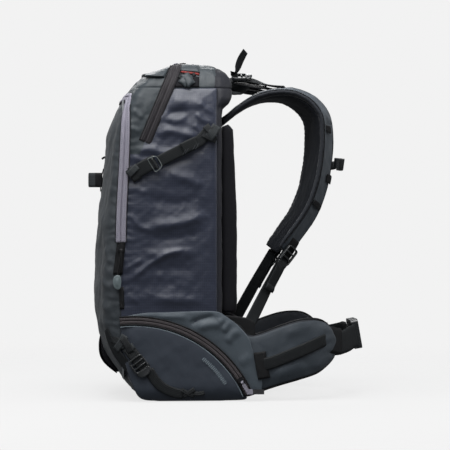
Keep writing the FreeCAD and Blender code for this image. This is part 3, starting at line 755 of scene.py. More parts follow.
# folds of the side cloth: (Y, Z) line, width, height
SIDE_FOLDS = [
    ([(-94, 309), (-80, 287), (-64, 279), (-50, 281)], 6, 3.6),
    ([(-66, 284), (-40, 285), (-19, 288), (13, 296), (34, 311)], 11, 6.6),
    ([(-74, 238), (-27, 240), (22, 241)], 9, 3.6),
    ([(-104, 196), (-85, 203), (-65, 219), (-44, 232), (-22, 243), (14, 246)], 5.5, 4.2),
    ([(-102, 216), (-88, 222), (-70, 230)], 5, 3.2),
    ([(-58, 166), (-11, 163), (32, 160)], 10, 4.2),
    ([(-34, 369), (5, 359), (30, 345)], 12, 5.0),
    ([(-92, 399), (-74, 391), (-56, 388)], 6, 3.4),
    ([(-94, 402), (-60, 408), (-32, 401), (2, 408), (18, 404)], 9, 5.4),
    ([(-32, 486), (0, 485), (32, 481)], 13, 5.6),
    ([(-52, 430), (-26, 438), (6, 430), (24, 424)], 8, 4.6),
    ([(-36, 458), (-18, 454), (2, 460)], 7, 3.0),
    ([(20, 486), (36, 472), (47, 468)], 5, 3.2),
    ([(14, 468), (26, 456), (44, 452)], 5, 3.4),
    ([(10, 450), (20, 440), (26, 428)], 4.5, 3.0),
    ([(-90, 476), (-80, 466), (-70, 457)], 5, 3.0),
    ([(-93, 446), (-84, 440), (-74, 437)], 4.5, 2.8),
    ([(-93, 460), (-88, 440), (-86, 424)], 4, 2.2),
    ([(-100, 340), (-84, 344), (-62, 338)], 7, 2.4),
    ([(-102, 268), (-92, 262), (-80, 264)], 5, 2.2),
    ([(-104, 172), (-90, 168), (-76, 158)], 7, 3.0),
    ([(30, 400), (42, 384), (46, 350)], 6, 1.8),
]
TOP_ZIP_START, TOP_ZIP_END = (-66.0, 424.0), (-12.0, 552.5)
# hollows between those folds
SIDE_HOLLOWS = [
    ([(-78, 332), (-20, 322), (28, 332)], 12, -3.4),
    ([(-70, 264), (-20, 264), (34, 276)], 9, -2.6),
    ([(-70, 216), (-30, 214), (20, 216)], 12, -2.4),
    ([(-34, 466), (-16, 470), (4, 472)], 6, -3.2),
    ([(-50, 446), (-38, 452), (-22, 448)], 5, -2.4),
    ([(-60, 382), (-20, 388), (16, 396)], 8, -3.0),
    ([(-96, 186), (-50, 190), (-10, 196)], 12, -2.0),
]


def beside_top_zip(z):
    """The Y that the side and lid cloth sinks along, under the top zip."""
    return np.interp(z, [418, 555], [-67.6, -12.5])


def side_panel(name, sign):
    """The big ripstop side: puffed, folded and puckered at its seams."""
    def rear(t):
        return s_at_y(t, np.full(len(t), BACK_Y))

    pts = skin_patch(BASE_Z, LID_Z, lambda t: s_at_y(t, SEAM(COLUMNS[0](t))), rear, 230, 84)
    n = normals(pts)
    d, u, _ = edge_distance(pts)
    y, z = pts[..., 1], pts[..., 2]
    shift = 0 if sign > 0 else 9
    folds = SIDE_FOLDS + SIDE_HOLLOWS
    lift = sum(ridge(y, z + shift, line, width * 0.8, height * 0.7) for line, width, height in folds)
    calm = 1 - np.exp(-d / 12)
    zip_y = beside_top_zip(z)
    near_zip = np.exp(-(((y - zip_y) / 13) ** 2)) * np.clip((z - 420) / 8, 0, 1)
    lift = lift * (1 - 0.85 * near_zip) - 1.6 * near_zip
    lift = lift * calm + bumps(11 + sign, y, z, 60) * 0.8 * calm + bumps(17 + sign, y, z, 20, 2) * 0.3 * calm
    pucker = np.sin(z * math.tau / 15 + 3 * bumps(5 + sign, y, z, 80)) * np.exp(-u / 14)
    lift += pucker * 0.9 * (1 - np.exp(-u / 3))
    above_stash = np.clip((z - 140) / 30, 0, 1)
    ahead = np.clip((zip_y - y) / 6, 0, 1) * np.clip((z - 470) / 20, 0, 1)
    lift = (lift + 2.2 * (1 - np.exp(-d / 22))) * above_stash + tuck(d) * (1 - ahead) - 0.4 * ahead
    pts = pts + n * lift[..., None]
    pts = sided(pts, sign)
    obj = grid_piece("side_cloth_" + name, pts, "side", thick=1.4, flip=sign < 0,
                     slot="main_fabric", replaces=["side_panel_" + name])
    paint(obj, "lid", lambda c: (c[:, 2] > 400) & (c[:, 1] < -66 + (c[:, 2] - 424) * 0.42))


both_sides(side_panel)


def front_pocket():
    """The front pocket's shell, from one side seam round the front to the other."""
    pts = skin_patch(
        BASE_Z, FRONT_TOP_Z, lambda t: np.zeros(len(t)), lambda t: s_at_y(t, SEAM(COLUMNS[0](t))), 220, 60
    )
    whole = np.concatenate([mirrored(pts)[:, :0:-1], pts], 1)
    n = normals(whole)
    d, u, _ = edge_distance(whole)
    z = whole[..., 2]
    along = u - u[:, -1:] / 2
    lift = bumps(31, along, z, 95) * 1.0 + bumps(37, along, z, 30, 2) * 0.3
    seam_near = np.exp(-np.minimum(u, u[:, -1:] - u) / 20)
    lift += np.sin(z * math.tau / 17 + 2.5 * bumps(33, along, z, 60)) * seam_near * 1.1
    for line, width, height in (
        ([(118, 250), (132, 236), (140, 222)], 7, 2.2), ([(120, 222), (134, 212), (146, 208)], 6, 1.8),
        ([(112, 160), (128, 150), (146, 152)], 8, 2.6), ([(108, 200), (126, 190), (150, 186)], 8, 1.6),
        ([(60, 120), (100, 128), (140, 118)], 10, 2.0), ([(10, 330), (60, 300), (120, 292)], 16, 2.6),
        ([(20, 250), (70, 262), (118, 300)], 14, 2.2), ([(5, 190), (50, 178), (110, 186)], 15, 2.4),
        ([(0, 430), (50, 440), (96, 424)], 16, 2.0), ([(118, 330), (130, 350), (134, 380)], 8, 1.6),
    ):
        lift += ridge(np.abs(along), z, line, width, height)
    lift = lift * (1 - np.exp(-d / 9)) + tuck(d, 1.4)
    whole = whole + n * lift[..., None]
    return grid_piece("front_pocket_cloth", whole, "front", thick=1.4,
                      slot="pocket_fabric", replaces=["front_pocket_shell"])


front_pocket()


def closed_ring_patch(z0, z1, rows, cols, close_top=False):
    """All the way round the bag between two heights: rows x (2 cols) points, a closed ring."""
    t = np.linspace(t_at(z0), T_AXIS[-1] if close_top else t_at(z1), rows)
    s = np.stack([even_s(ti, 0.0, 5.0, cols) for ti in t])
    right = skin(t[:, None], s)
    return np.concatenate([right, mirrored(right)[:, -2:0:-1]], 1)


def lid():
    """The slate crown of the bag, closed at its top; its hem hides under the side and back cloth."""
    pts = closed_ring_patch(FRONT_TOP_Z, 560, 60, 120, close_top=True)
    n = unit(np.cross(np.roll(pts, -1, 1) - np.roll(pts, 1, 1), np.gradient(pts, axis=0)))
    steps = np.linalg.norm(np.diff(pts, axis=0), axis=-1)
    v = np.concatenate([np.zeros((1, pts.shape[1])), np.cumsum(steps, 0)], 0)
    x, y, z = pts[..., 0], pts[..., 1], pts[..., 2]
    behind = np.clip((y - SEAM(z)) / 3, 0, 1)
    from_hem = np.where(behind > 0.5, np.clip(z - LID_Z, 0, None), v)
    calm = (1 - np.exp(-from_hem / 7)) * np.clip((v[-1:] - v) / 30, 0, 1)
    streaks = np.sin(y * math.tau / 9 + 2 * bumps(57, x, y, 50)) * np.clip((545 - z) / 25, 0, 1)
    lift = (bumps(51, x, y, 46) * 1.5 + bumps(53, x, y, 17, 2) * 0.5 + streaks * 0.35) * calm
    ahead = np.clip((beside_top_zip(z) - y) / 6, 0, 1) * behind
    lift += tuck(from_hem, 1.2) * (1 - 0.8 * ahead) - 3.6 * behind * np.clip((LID_Z - z) / 2, 0, 1)
    pts = pts + n * lift[..., None]
    obj = tube_piece("lid_cloth", pts, "lid", slot="lid_fabric", replaces=["top_lid_panel"])
    # The back's black cloth covers the lid's rear and reaches further forward over the yoke than the black
    # back does. That forward part is painted shade, where the yoke lies in shade.
    paint(obj, "back", lambda c: c[:, 1] > 46 + 0.12 * (c[:, 2] - 510))


lid()


def base():
    """The black bottom of the bag, from the floor up to the side seam."""
    ring = closed_ring_patch(0.0, BASE_Z, 7, 90)
    inward = ring[0] * np.array([0.9, 0.85, 1])
    middle = ring[0] * np.array([0.05, 0.05, 1])
    pts = np.concatenate([middle[None], inward[None], ring], 0)
    return tube_piece("base_cloth", pts, "back", slot="main_fabric", replaces=["base_panel"])


base()


def back_wall():
    """Black cloth of the back, and the yoke that bulges over it."""
    pts = skin_patch(
        BASE_Z, LID_Z, lambda t: s_at_y(t, np.full(len(t), BACK_Y)), lambda t: np.full(len(t), 5.0), 200, 46
    )
    whole = np.concatenate([pts, mirrored(pts)[:, -2::-1]], 1)
    n = normals(whole)
    d, u, _ = edge_distance(whole)
    z = whole[..., 2]
    lift = bumps(61, u, z, 50) * 0.9 * (1 - np.exp(-d / 8)) + tuck(d, 1.5)
    yoke = np.clip((z - 480) / 12, 0, 1) * (1 - np.exp(-d / 10))
    lift += yoke * 1.6
    whole = whole + n * lift[..., None]
    return grid_piece("back_cloth", whole, "back", thick=1.4, slot="back_fabric",
                      replaces=["back_wall_and_yoke"])


back_wall()


# ------------------------------------------------------------------ seam lines on the skin
def skin_line(ys, zs, lift=0.0):
    """Points on the skin's right side at the given Y and Z, lifted off it."""
    t = t_at(np.asarray(zs, float))
    s = s_at_y(t, ys)
    e = 1e-3
    p = skin(t, s)
    du = skin(t, s + e) - p
    dv = skin(t + e, s) - p
    n = unit(np.cross(du, dv))
    return p + n * lift, n


def crown_line(y_at_z, z0, count):
    """A line up the right side and over the lid's top to X = 0, where Y depends on Z."""
    t = np.linspace(t_at(z0), T_AXIS[-1], 400)
    z = COLUMNS[0](t)
    y = y_at_z(z)
    front, back = COLUMNS[1](t), COLUMNS[2](t)
    inside = (y > front + 1) & (y < back - 1)
    t, y = t[inside], y[inside]
    p, n = skin_line(y, COLUMNS[0](t))
    end = p[-1] * np.array([0, 1, 1])
    both = np.hstack([p, n])
    both = np.vstack([both, [*end, 0, -0.15, 0.99]])
    return smooth_path(both, count)


def zip_outline(width, lip, groove):
    """A closed zip in section: two rounded lips that meet over the coil."""
    x = np.linspace(-1, 1, 25)
    y = lip * (1 - (2 * np.abs(x) - 1) ** 4) ** 0.7 - groove * np.exp(-((x / 0.09) ** 2)) + 0.5
    top = np.stack([x * width / 2, y], 1)
    bottom = np.stack([x[::-1] * width / 2, np.full(25, -0.8)], 1)
    return np.vstack([top, bottom])


def zip_strip(name, both, width, lip, mat, groove=0.75, sign=1, **rest):
    """A zip along a path of points and outward directions; groove is a share of the lip."""
    across, n = frames_along(both[:, :3], both[:, 3:])
    rings = sweep(both[:, :3], across, n, zip_outline(width, lip, lip * groove))
    rings = sided(rings, sign)
    return tube_piece(name, rings, mat, flip=sign > 0, **rest)


def piping(name, both, offset, radius, mat, sign=1, **rest):
    """Piping beside a path of points and outward directions."""
    across, n = frames_along(both[:, :3], both[:, 3:])
    path = both[:, :3] + across * offset + n * 0.4
    return cord_tube(name, path, radius, mat, sign=sign, **rest)


def sewn_patch(name, corners, mat, height=1.6, rows=12, cols=12, sign=1, wave_mm=0.0, thick=1.2, **rest):
    """A flat patch sewn on the skin's side. Its corners are (Y, Z): low front, low back, high
    back, high front."""
    c = np.asarray(corners, float)
    a, b = np.meshgrid(np.linspace(0, 1, rows), np.linspace(0, 1, cols), indexing="ij")
    a, b = a[..., None], b[..., None]
    yz = (c[0] * (1 - b) + c[1] * b) * (1 - a) + (c[3] * (1 - b) + c[2] * b) * a
    p, n = skin_line(yz[..., 0].ravel(), yz[..., 1].ravel())
    pts, n = p.reshape(rows, cols, 3), n.reshape(rows, cols, 3)
    d, u, v = edge_distance(pts)
    lift = height * (0.55 + 0.45 * (1 - np.exp(-d / 2))) + wave_mm * bumps(rows + cols, u, v, 14, 2)
    pts = pts + n * lift[..., None]
    pts = sided(pts, sign)
    return grid_piece(name, pts, mat, thick=thick, flip=sign < 0, **rest)


def front_zip():
    """The lavender zip: up one side seam, over the front and down the other."""
    z = np.linspace(258, 474, 60)
    p, n = skin_line(SEAM(z), z, 0.6)
    right = np.hstack([p, n])
    arc = np.array([1.42, 1.31, 1.18, 1.04, 0.88, 0.68, 0.45, 0.2, 0.0])
    q = skin(t_at(np.array([480, 486, 490.5, 494, 496, 497, 497, 497, 497.0])), arc)
    qn = unit(np.stack([np.sin(np.clip(arc - 1, 0, 1) * 1.3), -np.cos(np.clip(arc - 1, 0, 1) * 1.3),
                        np.full(len(arc), 0.75)], 1))
    half = smooth_path(np.vstack([right[::6], right[-1:], np.hstack([q, qn])]), 150)
    left = half[::-1][1:].copy()
    left[:, [0, 3]] *= -1
    both = np.vstack([half, left])
    zip_strip("front_zip_tape", both, 16.5, 1.9, "zip_light", slot="zip_light", replaces=["front_zip"])
    for k, offset in enumerate((-8.7, 8.7)):
        piping(f"front_zip_piping_{k}", both, offset, 0.7, "binding")
    across, n = frames_along(both[:, :3], both[:, 3:])
    lines = [(both[:, :3] + across * o + n * 1.9, n) for o in (-5.2, 5.2)]
    stitches("front_zip_stitching", lines, "thread_light", slot="zip_light")


front_zip()


def top_zip():
    """The brown zip over the crown, down to the middle of each side."""
    (y0, z0), (y1, z1) = TOP_ZIP_START, TOP_ZIP_END
    half = crown_line(lambda z: y0 + (z - z0) * (y1 - y0) / (z1 - z0), z0 - 4, 90)
    left = half[::-1][1:].copy()
    left[:, [0, 3]] *= -1
    both = np.vstack([half, left])
    both[:, :3] += both[:, 3:] * 0.9
    zip_strip("top_zip_tape", both, 18.0, 1.2, "zip_dark", groove=0.1, slot="zip_dark", replaces=["top_zip"])
    for k, (offset, radius) in enumerate(((-9.6, 1.1), (9.4, 0.6))):
        piping(f"top_zip_piping_{k}", both, offset, radius, "binding")
    across, n = frames_along(both[:, :3], both[:, 3:])
    lines = [(both[:, :3] + across * o + n * 1.6, n) for o in (-6.3, -3.6, 3.6, 6.3)]
    stitches("top_zip_stitching", lines, "thread", pitch=2.6, length=1.6, radius=0.4, slot="zip_dark")


top_zip()

def rain_flap():
    """The stiff flap in front of the top zip: its front edge stands off the cloth."""
    k = np.linspace(0, 1, 24)[:, None]
    c = np.linspace(0, 1, 46)[None, :]
    t_top = t_at(551)
    low = t_at(534 - 8 * np.clip(c[0] * 1.5, 0, 1) ** 2)[None, :]
    t = low * (1 - k) + t_top * k
    z_end = COLUMNS[0](t[:, -1])
    (y0, z0), (y1, z1) = TOP_ZIP_START, TOP_ZIP_END
    s_end = s_at_y(t[:, -1], y0 + (z_end - z0) * (y1 - y0) / (z1 - z0) - 12)
    pts = skin(t, c * s_end[:, None])
    whole = np.concatenate([mirrored(pts)[:, :0:-1], pts], 1)
    n = normals(whole)
    _, u, v = edge_distance(whole)
    lift = 1.2 + 4.6 * np.exp(-v / 9) + bumps(141, u, v, 40) * 0.5
    whole = whole + n * lift[..., None]
    grid_piece("rain_flap", whole, "lid", thick=2.6, slot="lid_fabric")


rain_flap()


def top_details(name, sign):
    """Folded rope tab, its patch, the grab tab and the red lining that shows under it."""
    sewn_patch("crown_patch_" + name, [(-20, 511), (21, 511), (22, 528), (-8, 531)], "pad", 1.3, sign=sign,
               slot="webbing")
    sewn_patch("crown_red_" + name, [(-8, 535), (22, 530.5), (22, 533.5), (-8, 538.5)], "red", 3.0, 6, 14,
               sign=sign, slot="lining")
    sewn_patch("crown_tab_" + name, [(-9, 537), (23, 534), (22, 547), (-6, 549)], "lid", 4.6, sign=sign,
               thick=2.2,
               slot="lid_fabric")
    for k, quad in enumerate(([(-13, 519), (-1, 509), (12, 526), (0, 534)],
                              [(3, 508), (15, 517), (4, 534), (-9, 529)])):
        sewn_patch(f"rope_tab_{name}_{k}", quad, "lid", 4.2 + 1.6 * k, 9, 9, sign=sign, thick=1.8,
                   wave_mm=0.8,
                   slot="tab_fabric")
    for k, quad in enumerate(([(-14, 527), (-7, 522), (-3, 531), (-6, 534)],
                              [(9, 534), (12, 527), (17, 531), (15, 535)])):
        sewn_patch(f"rope_tab_loop_{name}_{k}", quad, "web", 3.2, 6, 6, sign=sign, slot="webbing")


both_sides(top_details)


def seam_garage(name, sign):
    """Black webbing garage under the front zip's end."""
    sewn_patch("zip_garage_" + name, [(-119, 206), (-104, 206), (-99, 259), (-112, 259)], "binding", 2.2,
               16, 8, sign=sign,
               wave_mm=0.7, slot="webbing")
    sewn_patch("zip_garage_tail_" + name, [(-108, 150), (-101, 150), (-102, 186), (-110, 186)], "binding",
               1.4, 12, 5,
               sign=sign, wave_mm=0.6, slot="webbing")


both_sides(seam_garage)


def zip_tag():
    """The front zip's puller: a doubled dark cord and a moulded tag."""
    cord = [(149.6, -106.9, 246.8), (150.6, -107.5, 236), (150.4, -109, 222), (149.2, -111.5, 210),
            (148.6, -112.6, 203)]
    cord_tube("zip_tag_cord", cord, 1.3, "binding", body="front_zip_puller")
    cord_tube("zip_tag_cord_2", np.array(cord) + [0.4, 2.0, 0], 1.1, "binding", body="front_zip_puller")
    outline = np.array([(-6.5, -1), (-5.5, 7), (-1, 11.5), (5, 10.5), (7, 4), (6, -8), (2.5, -12),
                        (-4, -9)], float)
    path = smooth_path(np.vstack([outline, outline[:1]]), 33)[:-1]
    rings = []
    for scale, out in ((0.1, -2.0), (0.86, -2.0), (1.0, -1.0), (1.0, 1.1), (0.86, 2.1), (0.66, 1.5),
                       (0.6, 1.9), (0.1, 2.2)):
        yz = path * scale + np.array([-113.0, 193.5])
        rings.append(np.column_stack([np.full(len(yz), 148.8 + out), yz]))
    tube_piece("zip_tag_plate", np.array(rings), "tag", body="front_zip_puller", slot="puller_tag",
               replaces=["front_zip_puller"])


zip_tag()

# ------------------------------------------------------------------ side stash
STASH_Y, STASH_Z, STASH_R = -87.0, -74.0, 205.5
STASH_X = 144.6


def stash_arc(radius):
    """(Y, Z) points round the side pocket's zip, from its front end to its low rear end."""
    a = np.radians(np.linspace(96.0, 24.5, 90))
    return STASH_Y + radius * np.cos(a), STASH_Z + radius * np.sin(a)


def fan(name, outer, inner, x_at, rows, cols, seed, mat, sign, puff=2.0, folds=(), **rest):
    """A side patch between two lines of (Y, Z) points, puffed between its edges."""
    a, b = smooth_path(outer, cols), smooth_path(inner, cols)
    k = np.linspace(0, 1, rows)[:, None, None]
    yz = a[None] * (1 - k) + b[None] * k
    pts = np.concatenate([x_at(yz)[..., None], yz], -1)
    d, _, _ = edge_distance(pts)
    y, z = yz[..., 0], yz[..., 1]
    calm = 1 - np.exp(-d / 10)
    lift = puff * (1 - np.exp(-d / 18)) + bumps(seed, y, z, 60) * 0.6 * calm
    lift += sum((ridge(y, z, *f) for f in folds), np.zeros(y.shape)) * (1 - np.exp(-d / 6))
    pts[..., 0] += lift + tuck(d, 1.2, 4)
    pts = sided(pts, sign)
    return grid_piece(name, pts, mat, thick=1.4, flip=sign < 0, **rest)


def wing_x(y):
    """How far out the hip wing's outer face is, by Y."""
    return np.interp(y, [58, 101, 121, 150, 182, 213, 232], [141.5, 141.5, 141.9, 146, 144.5, 132.5, 119])


def side_stash(name, sign):
    """The curved side pocket under its zip, and the gusset above it."""
    y, z = stash_arc(STASH_R - 5)
    outer = np.stack([y, z], 1)
    low = [(-106, 100), (-98, 60), (-88, 30), (-74, 6), (-40, 2), (0, 2), (60, 2), (92, 3), (98, 6)]

    def x_at(yz):
        fall = np.clip((26 - yz[..., 1]) / 26, 0, 1)
        return STASH_X - 9 * fall**2 - 5 * np.clip((-78 - yz[..., 0]) / 26, 0, 1) ** 2

    fan("stash_cloth_" + name, outer, low, x_at, 46, 110, 71 + sign, "stash", sign, puff=2.2,
        slot="pocket_fabric", replaces=["side_stash_" + name])
    y, z = stash_arc(STASH_R + 5)
    arc = np.stack([y, z], 1)
    above = [(-109, 136), (-70, 143), (-35, 144), (21, 146), (49, 145), (64, 137), (84, 122), (100, 103),
             (104, 92), (112, 64), (122, 34), (121, 14)]

    def x_gusset(yz):
        return np.where(yz[..., 0] > 50, np.maximum(wing_x(yz[..., 0]) + 1.5, 143.0), STASH_X - 1)

    fan("gusset_cloth_" + name, above, arc, x_gusset, 26, 120, 81 + sign, "gusset", sign, puff=1.2,
        folds=[([(2, 124), (22, 133), (50, 140)], 5, -3.6), ([(14, 118), (36, 124), (60, 126)], 6, 3.2),
               ([(50, 128), (58, 132), (62, 138)], 4, 2.4), ([(58, 112), (66, 124), (70, 132)], 4.5, 3.0),
               ([(64, 94), (76, 110), (90, 114)], 6, 3.0), ([(-50, 136), (-20, 138), (4, 136)], 5, 1.6),
               ([(84, 60), (98, 70), (106, 76)], 8, 1.6)],
        slot="pocket_fabric", replaces=["hip_gusset_" + name])
    y, z = stash_arc(STASH_R)
    x = np.full(len(y), STASH_X + 0.6)
    both = np.stack([x, y, z, np.ones(len(y)), np.zeros(len(y)), np.zeros(len(y))], 1)
    zip_strip("stash_zip_tape_" + name, both, 10.4, 1.1, "zip_stash", sign=sign, slot="zip_dark",
              replaces=["side_zip_" + name])
    # The third, pale teal-grey cord is a painted highlight: it is the light that catches the black piping
    # beside it, not a cord of its own.
    for k, (offset, radius, mat) in enumerate(((-6.6, 1.4, "binding"), (6.6, 1.5, "binding"),
                                               (9.4, 0.9, "print"))):
        piping(f"stash_piping_{name}_{k}", both, offset, radius, mat, sign=sign)


both_sides(side_stash)


def stash_print(name, sign):
    """A plain row of short printed strokes beside the stash zip."""
    verts, faces = [], []
    line = smooth_path([(25, 71), (46, 51), (64, 27)], 60)
    t = unit(np.gradient(line, axis=0))
    for k in range(2, 58, 3):
        across = np.array([t[k, 1], -t[k, 0]])
        tall = 3.4 if k % 2 else 2.4
        for a, b in ((-0.8, -tall), (0.8, -tall), (0.8, tall), (-0.8, tall)):
            y, z = line[k] + t[k] * a + across * b
            verts.append((STASH_X + 4.2, y, z))
        base = len(verts) - 4
        faces.append([base, base + 1, base + 2, base + 3])
    verts = np.array(verts)
    verts = sided(verts, sign)
    piece("stash_print_" + name, verts, faces, "print", slot="tab_fabric")


both_sides(stash_print)


# ------------------------------------------------------------------ back pads and hip belt
def rounded_bar(width, depth, power=4.0, count=40):
    """A superellipse section, (across, outward)."""
    a = np.linspace(0, math.tau, count, endpoint=False)
    c, s = np.cos(a), np.sin(a)
    return np.stack([
        width / 2 * np.sign(c) * np.abs(c) ** (2 / power),
        depth / 2 * np.sign(s) * np.abs(s) ** (2 / power),
    ], 1)


def back_pad():
    """Ribbed foam columns of the back panel."""
    for k, (x0, x1) in enumerate(((16, 44), (46, 66), (68, 92), (94, 118))):
        for name, sign in (("right", 1), ("left", -1)):
            z = np.linspace(143, 449, 70)
            x = np.full(len(z), (x0 + x1) / 2)
            deep = np.interp(z, [142, 305, 440, 449], [26.0, 26.0, 20.0, 13.0])
            path = np.stack([x, 58.0 + deep / 2, z], 1)
            across, n = frames_along(path, np.repeat([[0.0, 1, 0]], len(z), 0))
            end = np.clip(np.minimum(z - 142, 450 - z) / 12, 0, 1)
            depth = deep * (0.7 + 0.3 * np.sqrt(end * (2 - end)))
            rings = np.stack([rounded_bar((x1 - x0 + 1) * (0.9 + 0.1 * e), d, 3.0) for e,
                              d in zip(end, depth)])
            pts = sweep(path, across, n, rings)
            pts[..., 1] += bumps(91 + k, x[:, None], pts[..., 2], 40) * 0.4
            pts = sided(pts, sign)
            rest = {"replaces": ["back_foam_pad"]} if (k, sign) == (0, 1) else {}
            obj = tube_piece(f"back_rib_{name}_{k}", pts, "foam" if k == 3 else "pad", flip=sign > 0,
                             slot="pad_mesh", **rest)


back_pad()


def lumbar():
    """The lumbar pad between the hip wings."""
    x = np.linspace(-118, 118, 90)
    path = np.stack([x, np.full(90, 76.0) + 5 * (x / 118) ** 2, np.full(90, 77.0)], 1)
    across, n = frames_along(path, np.repeat([[0.0, 1, 0]], 90, 0))
    end = np.clip((118 - np.abs(x)) / 14, 0, 1)
    rings = []
    for e in end:
        w = 0.75 + 0.25 * math.sqrt(e * (2 - e))
        ring = rounded_bar(118 * (0.96 + 0.04 * w), 27 * w, 3.4, 48)
        ring[:, 1] += 1.6 * np.cos(ring[:, 0] / 118 * math.tau * 2.5) * (ring[:, 1] > 0)
        rings.append(ring)
    rings = np.array(rings)
    obj = tube_piece("lumbar_cloth", sweep(path, across, n, rings), "pad",
                     slot="pad_mesh", replaces=["lumbar_pad"])
    channel = np.exp(-(((np.abs(rings[..., 0]) - 24) / 4) ** 2)) * (rings[..., 1] > 0)
    puff(obj, cap=3.0, pin=np.clip(channel + (rings[..., 1] < -6), 0, 1).ravel())


lumbar()

# plan curve and edges of the right wing: X, Y, Z low, Z high
WING = np.array([
    (134, 60.8, 14, 137), (134.5, 84, 8, 124), (134.5, 101, 8, 109), (134.5, 121, 15, 111),
    (139, 150, 25, 122),
    (137, 182, 34, 131.5), (125, 213, 43, 133), (112, 232, 55, 124), (103, 243, 66, 108),
    (98.5, 248.5, 78, 94),
], float)
WING_T = 14.0


def hip_wing(name, sign):
    """Padded wing: a slate outer face, black lining inside, bound all round."""
    w = smooth_path(WING, 70)
    t = unit(np.gradient(w[:, :2], axis=0))
    n = np.stack([t[:, 1], -t[:, 0], np.zeros(len(w))], 1)
    path = np.stack([w[:, 0], w[:, 1], (w[:, 2] + w[:, 3]) / 2], 1)
    up = np.repeat([[0.0, 0, 1]], len(w), 0)
    height = w[:, 3] - w[:, 2]
    half = 26
    k = np.linspace(-1, 1, half)
    rings = []
    for i, h in enumerate(height):
        thick = WING_T * min(1.0, 0.45 + 0.55 * (len(w) - 1 - i) / 9)
        face = thick / 2 * (1 - np.abs(k) ** 5) ** 0.6
        groove = 0.8 * np.exp(-(((np.abs(k) - 0.86) / 0.03) ** 2))
        outer = np.stack([k * h / 2, face - groove], 1)
        inner = np.stack([k[::-1][1:-1] * h / 2, -face[::-1][1:-1]], 1)
        rings.append(np.vstack([outer, inner]))
    rings = np.array(rings)
    pts = path[:, None] + up[:, None] * rings[..., :1] + n[:, None] * rings[..., 1:]
    y, z = pts[..., 1], pts[..., 2]
    outer_side = rings[..., 1] > 0
    lift = bumps(101 + sign, y, z, 60) * 1.2 + ridge(y, z, [(140, 36), (166, 52), (196, 62)], 8, 2.6)
    lift += ridge(y, z, [(126, 30), (132, 60), (140, 88)], 6, 1.6)
    pts += n[:, None] * (lift * outer_side)[..., None]
    face_mats = [0 if 1 <= j < half - 2 else 1 for j in range(rings.shape[1])]
    pts = sided(pts, sign)
    obj = tube_piece("hip_wing_cloth_" + name, pts, ["wing", "lining"], face_mats=face_mats, flip=sign > 0,
                     slot="wing_fabric", replaces=["hip_wing_" + name])
    around = np.abs(np.concatenate([k, -k[1:-1]]))
    held = np.clip((0.12 - np.abs(around - 1)) / 0.08, 0, 1)
    pin = np.tile(held, len(w))
    pin[: 12 * len(held)] = 1.0
    pin[-6 * len(held):] = 1.0
    puff(obj, cap=3.5, pin=pin)
    edge = np.stack([w[:, 0], w[:, 1], w[:, 3] - 1.0], 1)
    low = np.stack([w[:, 0], w[:, 1], w[:, 2] + 1.0], 1)[::-1]
    cord_tube("hip_wing_binding_" + name, np.vstack([edge[4:], low[:-4]]), 2.0, "binding", sign=sign,
              count=160)
    centre = np.array([(122, 59), (142, 64.5), (184, 81), (219, 94.6), (232, 99)], float)
    cx = wing_x(centre[:, 0]) + 3.6
    route = np.stack([cx, centre[:, 0], centre[:, 1]], 1)
    route[-1, 0] = 118.5
    out = np.array([(1, -0.02, 0), (1, -0.08, 0), (1, 0.15, 0), (0.8, 0.55, 0), (0.7, 0.7, 0)], float)
    webbing("wing_strap_" + name, route, out, WEB_WIDE, 2.0, sign=sign)
    route = [(145.8, 118, 80), (146.2, 120, 66), (146.2, 122.5, 52), (145.8, 125.5, 37)]
    webbing("wing_patch_" + name, route, (1, 0, 0), WEB_WIDE, 2.0, mat="binding", sign=sign)


both_sides(hip_wing)

BELT_UP = np.array([0, -math.sin(math.radians(10)), math.cos(math.radians(10))])


def belt_webbing(name, sign):
    """Belt webbing from the wing's tip to the buckle, with the strap that wraps the tip."""
    y = 291.0 if sign > 0 else 284.0
    far = 40 if sign > 0 else 14
    route = np.array([(104, 243, 90), (96, 253, 90), (82, 269, 94), (62, 280, 98), (46, y - 1.5, 100.5),
                      (far, y, 101)], float)
    t = unit(np.gradient(route, axis=0))
    out = np.cross(t, BELT_UP)
    out *= np.sign(out[:, 1:2])
    webbing("belt_webbing_" + name, route, out, BELT_WIDE, 1.8, sign=sign,
            replaces=["hip_webbing_" + name])
    tip = np.array([(119, 228, 100), (112, 238, 98), (103, 249, 95), (95, 258, 93)], float)
    t = unit(np.gradient(tip, axis=0))
    out = np.cross(t, BELT_UP)
    out *= np.sign(out[:, 1:2])
    webbing("belt_tip_wrap_" + name, tip, out, 44, 2.4, mat="binding", sign=sign)


both_sides(belt_webbing)

# ------------------------------------------------------------------ shoulder straps
# centre line: X, Y, Z, width, thickness, outward turn in degrees
STRAP = np.array([
    (58, 63, 458, 54, 10, 0), (59, 77, 469, 56, 12, 0), (60, 97, 485, 60, 13, 0), (63, 123, 500, 64, 13, 2),
    (68, 155, 508, 66, 13, 5), (73, 186, 506, 68, 13, 9), (79, 214, 491, 68, 13, 14),
    (85, 231, 466, 68, 13, 18),
    (89, 234.5, 430, 66, 13, 21), (92, 231.5, 392, 64, 13, 22), (95, 223.5, 350, 62, 13, 23),
    (98, 207, 308, 58, 13, 25), (101, 181, 270, 52, 12, 28), (103, 161, 244, 42, 10, 32),
], float)


def strap_frame(count):
    """Path, across, outward, width and thickness along the right shoulder strap."""
    rows = smooth_path(STRAP, count)
    path = rows[:, :3]
    t = unit(np.gradient(path, axis=0))
    w = np.repeat([[1.0, 0, 0]], count, 0)
    w = unit(w - t * (w * t).sum(-1, keepdims=True))
    n = np.cross(w, t)
    a = np.radians(rows[:, 5:6])
    across = w * np.cos(a) - n * np.sin(a)
    outward = n * np.cos(a) + w * np.sin(a)
    return path, across, outward, rows[:, 3], rows[:, 4]


